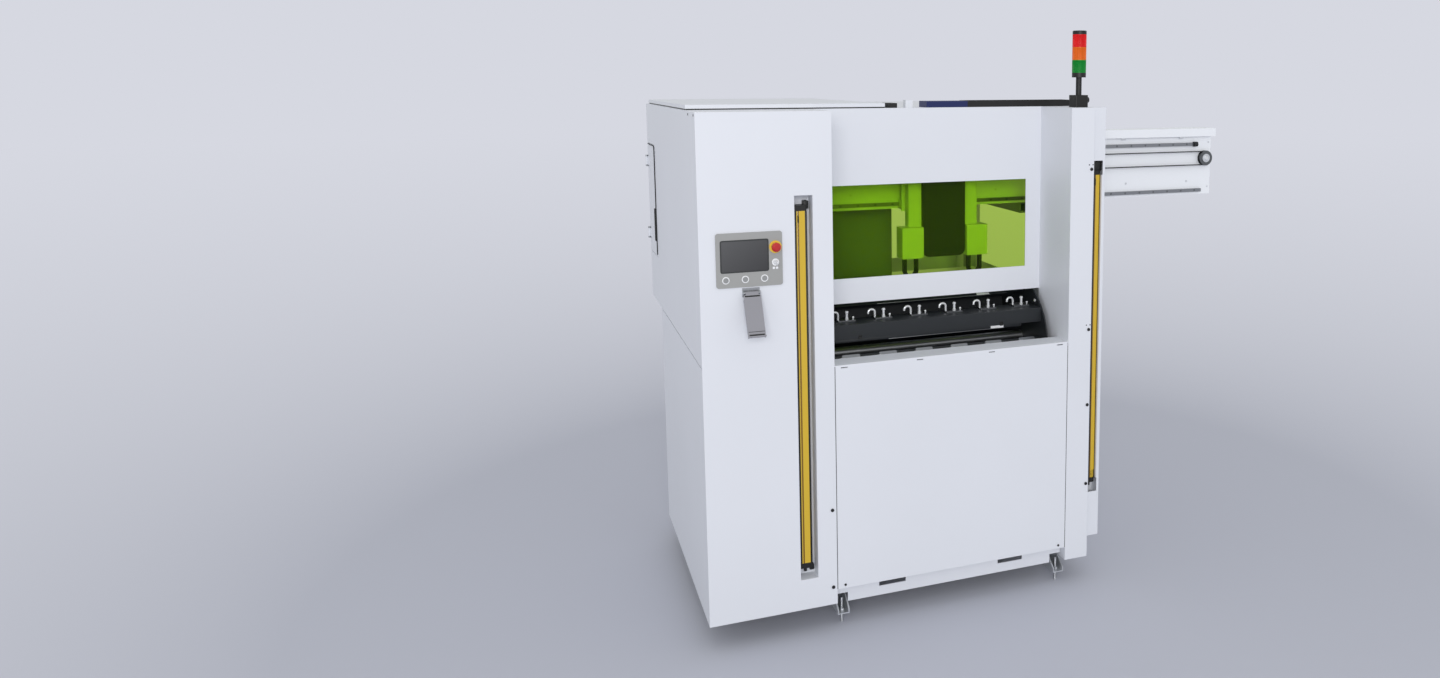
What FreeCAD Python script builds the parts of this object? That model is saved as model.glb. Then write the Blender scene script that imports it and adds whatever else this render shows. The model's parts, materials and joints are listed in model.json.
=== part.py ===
import FreeCAD
import Part
import math
import os

# A floor-standing key production cell, in millimetres.
# +X is to the operator's right, +Y into the depth and +Z up.
# The origin is on the floor, in the middle of the four levelling studs.
# Depths are measured back from the front plane, and widths on the left column from the left wall.

# Cabinet
COLUMN_HEIGHT = 2000.0
FLOOR_GAP = 100.0
LEFT_WIDTH = 517.0
OPENING_WIDTH = 1047.0
RIGHT_WIDTH = 112.0
LOWER_DEPTH = 1162.0
UPPER_DEPTH = 1510.0
RECESS_DEPTH = 280.0
SHEET = 3.0
EDGE_RADIUS = 0.8 * SHEET
SEAM_HEIGHT = 1035.0
SEAM_GAP = 4.0
ROOF_GAP = 4.0

# Right wing, which carries the light receiver
WING_WIDTH = 72.0
WING_SETBACK = 30.0
WING_DEPTH = 60.0
WING_BOTTOM = 80.0
WING_POCKET_LEFT = 16.0
WING_POCKET_RIGHT = 12.0
WING_POCKET_BOTTOM = 285.0
WING_POCKET_DROP = 228.0

# Feet
BASE_TUBE_GAP = 2.5
STUD_SETBACK = 38.0
STUD_RADIUS = 6.0
STUD_THREAD_STEP = 0.4
STUD_SHOULDER_GAP = 2.0
STUD_LENGTH = 105.0
STUD_CLEARANCE = 0.5
NUT_FLATS = 19.0
NUT_HEIGHT = 10.0
BRACKET_BOTTOM = 45.0
BRACKET_WALL = 5.0
BRACKET_FRONT = 8.0
BRACKET_LENGTH = 150.0
BRACKET_NOSE = 20.0
BRACKET_SLOPE_END = 75.0

# Welded frame
TUBE = 50.0
TUBE_WALL = 4.0
BASE_TUBE_Z = 120.0
BED_HEIGHT = 1220.0
BED_THICKNESS = 20.0
BED_FRONT = 700.0
BED_OVERLAP = 33.0

# Plinth and fork slots
PLINTH_SETBACK = 40.0
PLINTH_BOTTOM = 81.0
PLINTH_END_GAP = 3.0
FORK_SPACING = 545.0
FORK_WIDTH = 118.0
FORK_BOTTOM = 121.0
FORK_HEIGHT = 48.0

# Ledge and lower cover
LEDGE_HEIGHT = 992.0
LEDGE_DRUM_GAP = 40.0
LEDGE_FLANGE = 15.0
COVER_BOTTOM = 60.0
COVER_SIDE_GAP = 3.0
COVER_FLANGE = 20.0
HOOK_SLOT_COUNT = 4
HOOK_SLOT_WIDTH = 28.0
HOOK_SLOT_HEIGHT = 4.0
HOOK_SLOT_DROP = 9.0
HOOK_SLOT_INSET = 40.0

# Window panel and pane
WINDOW_MARGIN = 72.5
WINDOW_DROP = 320.0
WINDOW_SILL = 106.0
PANEL_DRUM_GAP = 9.0
PANE_THICKNESS = 6.0
PANE_OVERLAP = 10.0

# Light sender pocket in the left column
POCKET_LEFT = 366.0
POCKET_WIDTH = 72.0
POCKET_BOTTOM = 127.0
POCKET_DROP = 321.0
POCKET_DEPTH = 60.0
SENDER_INSET = 4.0
SENDER_WIDTH = 48.0
SENDER_DEPTH = 44.0
RECEIVER_WIDTH = 34.0
RECEIVER_DEPTH = 46.0
CURTAIN_RADIUS = 5.0
CURTAIN_CAP = 22.0
CURTAIN_END_GAP = 40.0
PLUG_RADIUS = 7.0
PLUG_LENGTH = 20.0

# Screws: widths from the left wall and heights above the columns' bottom edge
SCREW_RADIUS = 2.5
SCREW_CLEARANCE = 0.1
SCREW_LENGTH = 12.0
HEAD_RADIUS = 5.0
HEAD_HEIGHT = 2.5
LEFT_SCREW_INSET = 17.0
LEFT_SCREW_HEIGHTS = (74.0, 401.0)
RIGHT_SCREW_INSET = 13.0
RIGHT_SCREW_HEIGHTS = (341.0, 702.0, 1040.0, 1739.0)
COVER_SCREW_INSET = 34.0
COVER_SCREW_RISE = 15.0

# Running fits
SHAFT_CLEARANCE = 0.05
BORE_END_GAP = 1.0

# Operator panel
HMI_LEFT = 62.0
HMI_BOTTOM = 1340.0
HMI_WIDTH = 253.0
HMI_HEIGHT = 208.0
HMI_THICKNESS = 6.0
HMI_CORNER = 10.0
HMI_MARGIN = 12.0
SCREEN_LEFT = 19.0
SCREEN_BOTTOM = 60.0
SCREEN_WIDTH = 178.0
SCREEN_HEIGHT = 118.0
SCREEN_THICKNESS = 8.0
SCREEN_GAP = 0.2
SCREEN_PROUD = 0.5
STOP_AT = (226.0, 148.0)
STOP_RING_RADIUS = 24.0
STOP_RING_HEIGHT = 4.0
STOP_STEM_RADIUS = 8.0
STOP_HEAD_RADIUS = 18.0
STOP_HEAD_HEIGHT = 18.0
STOP_HEAD_BEVEL = 2.5
STOP_CROWN = 7.0
STOP_STROKE_GAP = 6.0
KEY_AT = (225.0, 89.0)
KEY_RING_RADIUS = 14.0
KEY_RING_HEIGHT = 4.0
KEY_BARREL_RADIUS = 9.0
KEY_BOW_RADIUS = 11.0
KEY_BOW_THICKNESS = 2.5
KEY_BOW_OUT = 8.0
KEY_EYE_RADIUS = 3.0
KEY_NOSE = 2.0
KEY_SHANK = 12.0
KEY_SHANK_HALF = 4.0
BUTTON_ROW = 30.0
BUTTON_LEFT = 35.0
BUTTON_PITCH = 73.5
BUTTON_COUNT = 3
BUTTON_RADIUS = 10.0
BUTTON_PROUD = 3.0
BUTTON_EDGE = 1.5
BEZEL_RADIUS = 14.0
BEZEL_HEIGHT = 3.0
CONTROL_DEPTH = 18.0

# Hand-held-device holder
HOLDER_LEFT = 159.0
HOLDER_WIDTH = 66.0
HOLDER_HINGE_HEIGHT = 1318.0
HOLDER_HINGE_OUT = 14.0
HOLDER_LENGTH = 176.0
HOLDER_PLATE = 4.0
HOLDER_CHEEK = 9.0
HOLDER_LIP = 14.0
HOLDER_TILT = 28.0
HINGE_PIN_RADIUS = 3.0
HINGE_KNUCKLE_RADIUS = 6.0
HINGE_LUG = 8.0
HINGE_SIDE_GAP = 0.4
HINGE_PLATE_HEIGHT = 34.0

# Side door
DOOR_REAR_MARGIN = 20.0
DOOR_LENGTH = 259.0
DOOR_DROP = 192.0
DOOR_HEIGHT = 540.0
DOOR_GAP = 3.0
DOOR_CORNER = 22.0
DOOR_PAN = 12.0
DOOR_HINGE_OUT = 7.0
DOOR_HINGE_BACK = 6.0
DOOR_KNUCKLE = 40.0
DOOR_STRAP = 20.0
DOOR_HINGE_INSET = 90.0
GRIP_INSET = 46.0
GRIP_BOTTOM = 76.0
GRIP_HEIGHT = 154.0
GRIP_WIDTH = 20.0
GRIP_CORNER = 9.0

# Carousel
DRUM_DEPTH = 408.0
DRUM_HEIGHT = 935.0
DISC_RADIUS = 268.0
DISC_THICKNESS = 6.0
DRUM_END_GAP = 23.0
SHAFT_RADIUS = 25.0
TRAY_COUNT = 7
TRAY_TOP = 171.0
TRAY_DEPTH = 117.0
APRON_HEIGHT = 62.0
TRAY_FLANGE = 20.0
STATION_COUNT = 6
STATION_MARGIN = 3.0
FIXTURE_WIDTH = 78.0
FIXTURE_LEFT_OF_PIN = 40.0
FIXTURE_DEPTH = 58.0
FIXTURE_THICKNESS = 6.0
FIXTURE_CORNER = 4.0
PIN_OFFSET = 20.0
PIN_FROM_FRONT = 10.0
PIN_RADIUS = 5.5
PIN_COLLAR_RADIUS = 7.5
PIN_COLLAR = 8.0
PIN_HEIGHT = 38.0
PIN_TOP = 8.0
PIN_BEVEL = 2.0
HOOK_LEFT_OF_PIN = 33.0
HOOK_BEHIND_PIN = 19.0
HOOK_HEIGHT = 32.0
HOOK_ARM = 30.0
HOOK_TIP = 18.0
HOOK_RADIUS = 4.8
HOOK_BEND = 14.0
KNOB_RIGHT_OF_PIN = 28.0
KNOB_RADIUS = 5.0
KNOB_HEIGHT = 9.0
CARRIER_THICKNESS = 6.0
CARRIER_BELOW = 135.0
CARRIER_DEPTH = 257.0
BEARING_RADIUS = 55.0
BEARING_GAP = 2.0
GEARMOTOR_RADIUS = 60.0
GEARMOTOR_LENGTH = 190.0
SHAFT_IN_MOTOR = 70.0

# Gantry: heights are drops below the cabinet's top
BEAM_DEPTH = 490.0
BEAM_THICKNESS = 110.0
BEAM_DROP = 137.0
BEAM_HEIGHT = 315.0
BEAM_WALL = 6.0
BEAM_END_WALL = 12.0
BEAM_OVERHANG = 954.0
BEAM_HOLE_RADIUS = 4.25
BEAM_HOLE_SPACING_Y = 70.0
BEAM_HOLE_SPACING_Z = 250.0
COVER_PLATE = 14.0
COVER_LIP = 26.0
COVER_OVERHANG = 15.0
COVER_FRONT = 18.0
RAIL_WIDTH = 16.0
RAIL_DEPTH = 14.0
UPPER_RAIL_DROP = 201.0
LOWER_RAIL_DROP = 431.0
UPPER_RAIL_SHORT = 112.0
LOWER_RAIL_SHORT = 60.0
RAIL_START = 40.0
STOP_LENGTH = 22.0
STOP_RADIUS = 12.0
BELT_DROP = 271.0
PULLEY_RADIUS = 31.0
FLANGE_LIP = 6.0
FLANGE_THICKNESS = 2.0
BELT_WIDTH = 14.0
BELT_THICKNESS = 3.6
BELT_GAP = 0.3
BELT_STANDOFF = 3.0
PULLEY_FLANGE = PULLEY_RADIUS + FLANGE_LIP
AXLE_RADIUS = 8.0
BOSS_RADIUS = 12.0
IDLER_INSET = 41.0
DRIVE_INSET = 136.0
MOTOR_RADIUS = 35.0
MOTOR_LENGTH = 84.0
MOTOR_FLANGE_RIM = 13.0
MOTOR_PLATE = 8.0
STANDOFF_RADIUS = 6.0
STANDOFF_INSET = 7.0

# Carriage, gripper columns and fingers
CARRIAGE_X = 95.0
CARRIAGE_WIDTH = 350.0
CARRIAGE_PLATE = 12.0
CARRIAGE_STANDOFF = 38.0
CARRIAGE_TOP_DROP = 160.0
CARRIAGE_BELOW_RAIL = 28.0
RUNNER_LENGTH = 64.0
RUNNER_HEIGHT = 40.0
RUNNER_GAP = 0.4
GUIDE_DEPTH = 10.0
GUIDE_WIDTH = 40.0
SLIDE_GAP = 0.3
COLUMN_BAR = 60.0
COLUMN_BAR_DEPTH = 45.0
COLUMN_TOP_DROP = 155.0
HEAD_WIDTH = 100.0
HEAD_DEPTH = 76.0
GRIPPER_HEAD = 136.0
HEAD_DRUM_GAP = 136.0
PLATE_WIDTH = 200.0
PLATE_GAP = 3.0
PLATE_DEPTH = 70.0
PLATE_CORNER = 30.0
FINGER_WIDTH = 14.0
FINGER_DEPTH = 24.0
FINGER_LENGTH = 84.0
FINGER_SPREAD = 20.0
CLAW_REACH = 9.0
CLAW_HEIGHT = 22.0
WALL_EXIT_FRONT = 340.0
WALL_EXIT_DEPTH = 850.0
WALL_EXIT_BELOW_FINGERS = 100.0
WALL_EXIT_DROP = 45.0

# Signal tower
TOWER_INSET = 26.0
TOWER_DEPTH = 100.0
CLAMP_WIDTH = 62.0
CLAMP_HEIGHT = 52.0
CLAMP_CORNER = 6.0
CLAMP_KNOB_RADIUS = 12.0
CLAMP_KNOB_DROP = 21.0
CLAMP_KNOB_LENGTH = 16.0
POLE_RADIUS = 12.5
POLE_LENGTH = 75.0
TOWER_RADIUS = 30.0
TOWER_BASE = 20.0
LENS_HEIGHT = 54.0
TOWER_CAP = 16.0
CAP_EDGE = 4.0

# Roof pieces
TRAY_DUCT_LEFT = 170.0
TRAY_DUCT_LENGTH = 505.0
TRAY_DUCT_DEPTH = 90.0
TRAY_DUCT_HEIGHT = 28.0
TRAY_DUCT_WALL = 4.0
BLUE_LENGTH = 190.0
BLUE_HEIGHT = 27.0
BLUE_EDGE = 4.0
ROOF_BLOCK = 32.0
DARK_BOX = 36.0
DARK_BOX_HEIGHT = 20.0
DARK_BOX_GAP = 133.0
LID_INSET = 10.0
LID_LENGTH = 825.0
LID_FRONT = 290.0
LID_REAR_MARGIN = 20.0
LID_HEIGHT = 15.0
LID_SEAL = 5.0
LID_SEAL_INSET = 4.0

# Rear opening and inner station
REAR_OPENING_LEFT = 50.0
REAR_OPENING_WIDTH = 650.0
REAR_OPENING_BOTTOM = 1140.0
REAR_OPENING_DROP = 200.0
HOUSING_LEFT = 13.0
HOUSING_WIDTH = 456.0
HOUSING_OVER_DRUM = 26.0
HOUSING_DEPTH = 440.0
HOUSING_TOP = 1525.0
HOUSING_PORT_WIDTH = 160.0
HOUSING_PORT_BOTTOM = 60.0
HOUSING_PORT_HEIGHT = 240.0
SPINDLE_FROM_LEFT = 260.0
SPINDLE_HEIGHT = 160.0
SPINDLE_RADIUS = 10.0
SPINDLE_LENGTH = 190.0
SPINDLE_START = 115.0
CUTTER_RADIUS = 35.0
CUTTER_THICKNESS = 8.0
SPINDLE_MOTOR_RADIUS = 48.0
SPINDLE_MOTOR_LENGTH = 150.0
SPINDLE_MOTOR_START = 215.0
PEDESTAL_WIDTH = 80.0
CRADLE_GAP = 0.3
VICE_WIDTH = 80.0
VICE_LENGTH = 50.0
VICE_START = 55.0
VICE_SLOT = 12.0
VICE_SLOT_DEPTH = 25.0
VICE_BELOW_SPINDLE = 40.0

# Places worked out from the sizes above
X_OPEN_LEFT = -OPENING_WIDTH / 2
X_OPEN_RIGHT = OPENING_WIDTH / 2
X_LEFT = X_OPEN_LEFT - LEFT_WIDTH
X_RIGHT = X_OPEN_RIGHT + RIGHT_WIDTH
X_WING = X_RIGHT + WING_WIDTH
Y_FRONT = -LOWER_DEPTH / 2
Y_LOWER = Y_FRONT + LOWER_DEPTH
Y_UPPER = Y_FRONT + UPPER_DEPTH
Y_RECESS = Y_FRONT + RECESS_DEPTH
Z_BASE = FLOOR_GAP
Z_TOP = FLOOR_GAP + COLUMN_HEIGHT
Z_SEAM = FLOOR_GAP + SEAM_HEIGHT
Z_LEDGE = FLOOR_GAP + LEDGE_HEIGHT
Z_BED = BED_HEIGHT + BED_THICKNESS
STUD_X = OPENING_WIDTH / 2 - TUBE / 2 - BASE_TUBE_GAP
STUD_Y = LOWER_DEPTH / 2 - STUD_SETBACK
THREAD_RADIUS = STUD_RADIUS - STUD_THREAD_STEP
STUD_SHOULDER = BRACKET_BOTTOM - NUT_HEIGHT - STUD_SHOULDER_GAP
DRUM_Y = Y_FRONT + DRUM_DEPTH
DRUM_Z = FLOOR_GAP + DRUM_HEIGHT
DRUM_HALF = OPENING_WIDTH / 2 - DRUM_END_GAP
TRAY_FRONT = math.sqrt(DISC_RADIUS**2 - TRAY_TOP**2)
Z_PANEL = DRUM_Z + math.sqrt((DISC_RADIUS + PANEL_DRUM_GAP) ** 2 - (DRUM_DEPTH - RECESS_DEPTH) ** 2)
HEAD_Z = DRUM_Z + DISC_RADIUS + HEAD_DRUM_GAP
HOUSING_FRONT = DRUM_DEPTH + DISC_RADIUS - HOUSING_OVER_DRUM
BEAM_Y = Y_FRONT + BEAM_DEPTH
BEAM_TOP = Z_TOP - BEAM_DROP
BEAM_BOTTOM = BEAM_TOP - BEAM_HEIGHT
BEAM_LEFT = X_OPEN_LEFT - SHEET - TUBE
BEAM_RIGHT = X_RIGHT + BEAM_OVERHANG
BELT_Z = Z_TOP - BELT_DROP
UPPER_RAIL_Z = Z_TOP - UPPER_RAIL_DROP
LOWER_RAIL_Z = Z_TOP - LOWER_RAIL_DROP
FRONT_ROW = (Y_RECESS + SHEET, Y_RECESS + SHEET + TUBE)
REAR_ROW = (Y_LOWER - SHEET - TUBE, Y_LOWER - SHEET)
POST_A = X_LEFT + SHEET
POST_B = X_OPEN_LEFT - SHEET - TUBE
POST_C = X_OPEN_RIGHT + SHEET

NODES = {}


def vec(x, y, z):
    return FreeCAD.Vector(x, y, z)


def keep(name, *solids):
    """Adds solids to a node of this name."""
    NODES.setdefault(name, []).extend(solids)


def block(x, y, z):
    """A box between a (low, high) pair on each axis."""
    size = (x[1] - x[0], y[1] - y[0], z[1] - z[0])
    return Part.makeBox(size[0], size[1], size[2], vec(x[0], y[0], z[0]))


def rod(x, y, z, radius, length, axis):
    """A cylinder that starts at a point and runs along an axis."""
    return Part.makeCylinder(radius, length, vec(x, y, z), vec(*axis))


def only_solid(shape):
    if len(shape.Solids) != 1:
        raise ValueError(f"{len(shape.Solids)} solids where one was meant")
    return shape.Solids[0]


def join(first, *others):
    return only_solid(first.fuse(list(others)).removeSplitter())


def cut(shape, *tools):
    return only_solid(shape.cut(list(tools)))


def at_width(width):
    return X_LEFT + width


def at_depth(depth):
    return Y_FRONT + depth


def at_height(height):
    return Z_BASE + height


def edges_along(shape, axis, places):
    """Straight edges along an axis whose other two coordinates are near one of the places."""
    rest = [i for i in range(3) if i != axis]
    found = []
    for edge in shape.Edges:
        ends = [vertex.Point for vertex in edge.Vertexes]
        if len(ends) != 2 or abs(ends[1][axis] - ends[0][axis]) < 1:
            continue
        spots = [tuple(end[i] for i in rest) for end in ends]
        for place in places:
            if all(math.dist(spot, place) < 0.01 for spot in spots):
                found.append(edge)
    return found


def rounded_plate(x, y, z, radius):
    """A plate that faces front and back, with four round corners."""
    plate = block(x, y, z)
    corners = [(a, b) for a in x for b in z]
    return plate.makeFillet(radius, edges_along(plate, 1, corners))


def tube(x, y, z, axis):
    """A square tube, open at both ends, that runs along an axis."""
    spans = [x, y, z]
    inner = [s if i == axis else (s[0] + TUBE_WALL, s[1] - TUBE_WALL) for i, s in enumerate(spans)]
    return cut(block(*spans), block(*inner))


def hex_nut(x, y, z, bore):
    across = NUT_FLATS / math.sqrt(3)
    angles = [math.radians(60 * i) for i in range(7)]
    corners = [vec(x + across * math.cos(a), y + across * math.sin(a), z) for a in angles]
    prism = Part.Face(Part.makePolygon(corners)).extrude(vec(0, 0, NUT_HEIGHT))
    return cut(prism, rod(x, y, z, bore, NUT_HEIGHT, (0, 0, 1)))


def turned(profile, place, axis, angle):
    """A turned piece: radius and height pairs spun round Z, then laid along another axis."""
    points = [vec(radius, 0, height) for radius, height in profile]
    face = Part.Face(Part.makePolygon(points + points[:1]))
    solid = face.revolve(vec(0, 0, 0), vec(0, 0, 1), 360).Solids[0]
    solid.rotate(vec(0, 0, 0), vec(*axis), angle)
    solid.translate(vec(*place))
    return solid


def screw_spots():
    """Every panel screw, by the panel that it holds."""
    left_x = X_OPEN_LEFT - LEFT_SCREW_INSET
    right_x = X_RIGHT - RIGHT_SCREW_INSET
    cover_x = X_OPEN_RIGHT - COVER_SCREW_INSET
    cover_z = at_height(COVER_BOTTOM + COVER_SCREW_RISE)
    return {
        "left": [(left_x, at_height(h)) for h in LEFT_SCREW_HEIGHTS],
        "right": [(right_x, at_height(h)) for h in RIGHT_SCREW_HEIGHTS],
        "cover": [(-cover_x, cover_z), (cover_x, cover_z)],
    }


def screw_holes(panel):
    radius = SCREW_RADIUS + SCREW_CLEARANCE
    return [rod(x, Y_FRONT, z, radius, SHEET, (0, 1, 0)) for x, z in screw_spots()[panel]]


def panel_screws():
    for spots in screw_spots().values():
        for x, z in spots:
            head = rod(x, Y_FRONT - HEAD_HEIGHT, z, HEAD_RADIUS, HEAD_HEIGHT, (0, 1, 0))
            shank = rod(x, Y_FRONT, z, SCREW_RADIUS, SCREW_LENGTH, (0, 1, 0))
            keep("panel_screws", join(head, shank))


def foot_bracket(x, side):
    """A channel under a base tube, cut down towards its nose and drilled for a stud."""
    half = TUBE / 2
    nose = side * (LOWER_DEPTH / 2 - BRACKET_FRONT)
    tail = nose - side * BRACKET_LENGTH
    span = (min(nose, tail), max(nose, tail))
    outer = block((x - half, x + half), span, (BRACKET_BOTTOM, BASE_TUBE_Z))
    inner_z = (BRACKET_BOTTOM + BRACKET_WALL, BASE_TUBE_Z)
    inner = block((x - half + BRACKET_WALL, x + half - BRACKET_WALL), span, inner_z)
    slope = [
        vec(x - half, nose, BRACKET_BOTTOM + BRACKET_NOSE),
        vec(x - half, nose - side * BRACKET_SLOPE_END, BASE_TUBE_Z),
        vec(x - half, nose, BASE_TUBE_Z),
    ]
    wedge = Part.Face(Part.makePolygon(slope + slope[:1])).extrude(vec(TUBE, 0, 0))
    hole = rod(x, side * STUD_Y, BRACKET_BOTTOM, THREAD_RADIUS + STUD_CLEARANCE, BRACKET_WALL, (0, 0, 1))
    return cut(outer, inner, wedge, hole)


def levelling_stud(x, y):
    """A stud with a full-width foot end and a threaded upper end, drawn at the thread's outer radius."""
    foot = rod(x, y, 0, STUD_RADIUS, STUD_SHOULDER, (0, 0, 1))
    thread = rod(x, y, STUD_SHOULDER, THREAD_RADIUS, STUD_LENGTH - STUD_SHOULDER, (0, 0, 1))
    return join(foot, thread)


def feet():
    """Foot brackets, levelling studs and their nuts at the four corners."""
    for x in (-STUD_X, STUD_X):
        for side in (-1, 1):
            y = side * STUD_Y
            keep("foot_brackets", foot_bracket(x, side))
            keep("levelling_studs", levelling_stud(x, y))
            for z in (BRACKET_BOTTOM - NUT_HEIGHT, BRACKET_BOTTOM + BRACKET_WALL):
                keep("levelling_studs", hex_nut(x, y, z, THREAD_RADIUS + SHAFT_CLEARANCE))


def machine_frame():
    """Square tubes, each a separate piece of the welded frame."""
    half = TUBE / 2
    full_x = (X_LEFT + SHEET, X_RIGHT - SHEET)
    base_y = (at_depth(PLINTH_SETBACK) + SHEET, Y_LOWER - PLINTH_SETBACK - SHEET)
    base_z = (BASE_TUBE_Z, BASE_TUBE_Z + TUBE)
    cross_z = (base_z[1], base_z[1] + TUBE)
    top_z = (Z_TOP - SHEET - TUBE, Z_TOP - SHEET)
    between = (FRONT_ROW[1], REAR_ROW[0])
    for x in (-STUD_X, STUD_X):
        keep("machine_frame", tube((x - half, x + half), base_y, base_z, 1))
    for row in (FRONT_ROW, REAR_ROW):
        keep("machine_frame", tube(full_x, row, cross_z, 0))
        keep("machine_frame", tube(full_x, row, top_z, 0))
        for x in (POST_A, POST_B, POST_C):
            keep("machine_frame", tube((x, x + TUBE), row, (cross_z[1], top_z[0]), 2))
    for x in (POST_B, POST_C):
        bed_z = (BED_HEIGHT - TUBE, BED_HEIGHT)
        keep("machine_frame", tube((x, x + TUBE), between, bed_z, 1))
        beam_z = (BEAM_BOTTOM - TUBE, BEAM_BOTTOM)
        keep("machine_frame", tube((x, x + TUBE), (BEAM_Y, between[1]), beam_z, 1))


def plinth():
    """Front and rear plates, each with two slots for the forks of a truck."""
    half_low = STUD_X - TUBE / 2 - PLINTH_END_GAP
    half_high = STUD_X + TUBE / 2
    top = BASE_TUBE_Z + TUBE
    front = at_depth(PLINTH_SETBACK)
    rear = Y_LOWER - PLINTH_SETBACK - SHEET
    slot_z = (FORK_BOTTOM, FORK_BOTTOM + FORK_HEIGHT)
    for y in (front, rear):
        span = (y, y + SHEET)
        low = block((-half_low, half_low), span, (PLINTH_BOTTOM, BASE_TUBE_Z))
        high = block((-half_high, half_high), span, (BASE_TUBE_Z, top))
        slots = []
        for x in (-FORK_SPACING / 2, FORK_SPACING / 2):
            slots.append(block((x - FORK_WIDTH / 2, x + FORK_WIDTH / 2), span, slot_z))
        keep("plinth", cut(join(low, high), *slots))


def hmi_x(offset):
    return at_width(HMI_LEFT + offset)


def hmi_z(offset):
    return at_height(HMI_BOTTOM + offset)


def left_front_panel():
    """Folded front sheet of the left column, with the light sender's welded pocket."""
    z = (Z_BASE, Z_TOP)
    front = block((X_LEFT, X_OPEN_LEFT), (Y_FRONT, Y_FRONT + SHEET), z)
    corners = [(X_LEFT, Y_FRONT)]
    front = front.makeFillet(EDGE_RADIUS, edges_along(front, 2, corners))
    back = Y_RECESS + SHEET
    side = block((X_OPEN_LEFT - SHEET, X_OPEN_LEFT), (Y_FRONT + SHEET, back), z)
    pocket_x = (at_width(POCKET_LEFT), at_width(POCKET_LEFT + POCKET_WIDTH))
    pocket_z = (at_height(POCKET_BOTTOM), Z_TOP - POCKET_DROP)
    pocket_y = (Y_FRONT + SHEET, at_depth(POCKET_DEPTH))
    wide = (pocket_x[0] - SHEET, pocket_x[1] + SHEET)
    tall = (pocket_z[0] - SHEET, pocket_z[1] + SHEET)
    shell = block(wide, (pocket_y[0], pocket_y[1] + SHEET), tall)
    hollow = block(pocket_x, (Y_FRONT, pocket_y[1]), pocket_z)
    hmi = block(
        (hmi_x(HMI_MARGIN), hmi_x(HMI_WIDTH - HMI_MARGIN)),
        (Y_FRONT, Y_FRONT + SHEET),
        (hmi_z(HMI_MARGIN), hmi_z(HMI_HEIGHT - HMI_MARGIN)),
    )
    panel = cut(join(front, side, shell), hollow, hmi, *screw_holes("left"))
    keep("left_front_panel", panel)


def door_spans():
    """The door cut-out's depth span and height span."""
    rear = Y_UPPER - DOOR_REAR_MARGIN
    y = (rear - DOOR_LENGTH, rear)
    z = (Z_TOP - DOOR_DROP - DOOR_HEIGHT, Z_TOP - DOOR_DROP)
    return y, z


def door_leaf(margin, x):
    """A door-shaped plate, smaller all round by a margin, with one round upper corner at the front."""
    y, z = door_spans()
    leaf = block(x, (y[0] + margin, y[1] - margin), (z[0] + margin, z[1] - margin))
    corner = [(y[0] + margin, z[1] - margin)]
    return leaf.makeFillet(DOOR_CORNER - margin, edges_along(leaf, 0, corner))


def left_walls():
    x = (X_LEFT, X_LEFT + SHEET)
    start = Y_FRONT + SHEET
    keep("left_walls", block(x, (start, Y_LOWER), (Z_BASE, Z_SEAM - SEAM_GAP / 2)))
    upper = block(x, (start, Y_UPPER), (Z_SEAM + SEAM_GAP / 2, Z_TOP))
    keep("left_walls", cut(upper, door_leaf(0, x)))


def door_hinge_spots():
    y, z = door_spans()
    axis_x = X_LEFT - DOOR_HINGE_OUT
    axis_y = y[1] + DOOR_HINGE_BACK
    half = DOOR_KNUCKLE / 2
    return axis_x, axis_y, (z[0] + DOOR_HINGE_INSET - half, z[1] - DOOR_HINGE_INSET - half)


def side_door():
    """Pan-shaped door with a grip slot and two hinge knuckles on its rear edge."""
    y, z = door_spans()
    leaf = door_leaf(DOOR_GAP, (X_LEFT, X_LEFT + DOOR_PAN))
    hollow = door_leaf(DOOR_GAP + SHEET, (X_LEFT + SHEET, X_LEFT + DOOR_PAN))
    grip_y = y[0] + GRIP_INSET
    grip_z = z[0] + GRIP_BOTTOM
    grip = block((X_LEFT, X_LEFT + SHEET), (grip_y, grip_y + GRIP_WIDTH), (grip_z, grip_z + GRIP_HEIGHT))
    ends = [(a, b) for a in (grip_y, grip_y + GRIP_WIDTH) for b in (grip_z, grip_z + GRIP_HEIGHT)]
    grip = grip.makeFillet(GRIP_CORNER, edges_along(grip, 0, ends))
    door = cut(leaf, hollow, grip)
    axis_x, axis_y, knuckles = door_hinge_spots()
    for bottom in knuckles:
        top = bottom + DOOR_KNUCKLE
        edge = y[1] - DOOR_GAP
        strap_y = (edge - DOOR_STRAP, edge)
        strap = block((X_LEFT - SHEET, X_LEFT), strap_y, (bottom, top))
        bridge_x = (X_LEFT - SHEET, X_LEFT - HINGE_SIDE_GAP)
        link = block(bridge_x, (edge, axis_y), (bottom, top))
        barrel = rod(axis_x, axis_y, bottom, HINGE_KNUCKLE_RADIUS, DOOR_KNUCKLE, (0, 0, 1))
        bore_radius = HINGE_PIN_RADIUS + SHAFT_CLEARANCE
        bore = rod(axis_x, axis_y, bottom, bore_radius, DOOR_KNUCKLE, (0, 0, 1))
        door = cut(join(door, strap, link, barrel), bore)
    keep("side_door", door)


def door_hinges():
    """A pin between two lugs on the wall, for each of the door's knuckles."""
    axis_x, axis_y, knuckles = door_hinge_spots()
    for bottom in knuckles:
        pin_z = bottom - HINGE_LUG - HINGE_SIDE_GAP
        pin_length = DOOR_KNUCKLE + 2 * (HINGE_LUG + HINGE_SIDE_GAP)
        pin = rod(axis_x, axis_y, pin_z, HINGE_PIN_RADIUS, pin_length, (0, 0, 1))
        lugs = []
        for low in (pin_z, pin_z + pin_length - HINGE_LUG):
            lug_y = (axis_y, axis_y + HINGE_KNUCKLE_RADIUS)
            lug = block((axis_x - HINGE_PIN_RADIUS, X_LEFT), lug_y, (low, low + HINGE_LUG))
            eye = rod(axis_x, axis_y, low, HINGE_KNUCKLE_RADIUS, HINGE_LUG, (0, 0, 1))
            lugs.extend((lug, eye))
        keep("hinge_pins", join(pin, *lugs))


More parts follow.
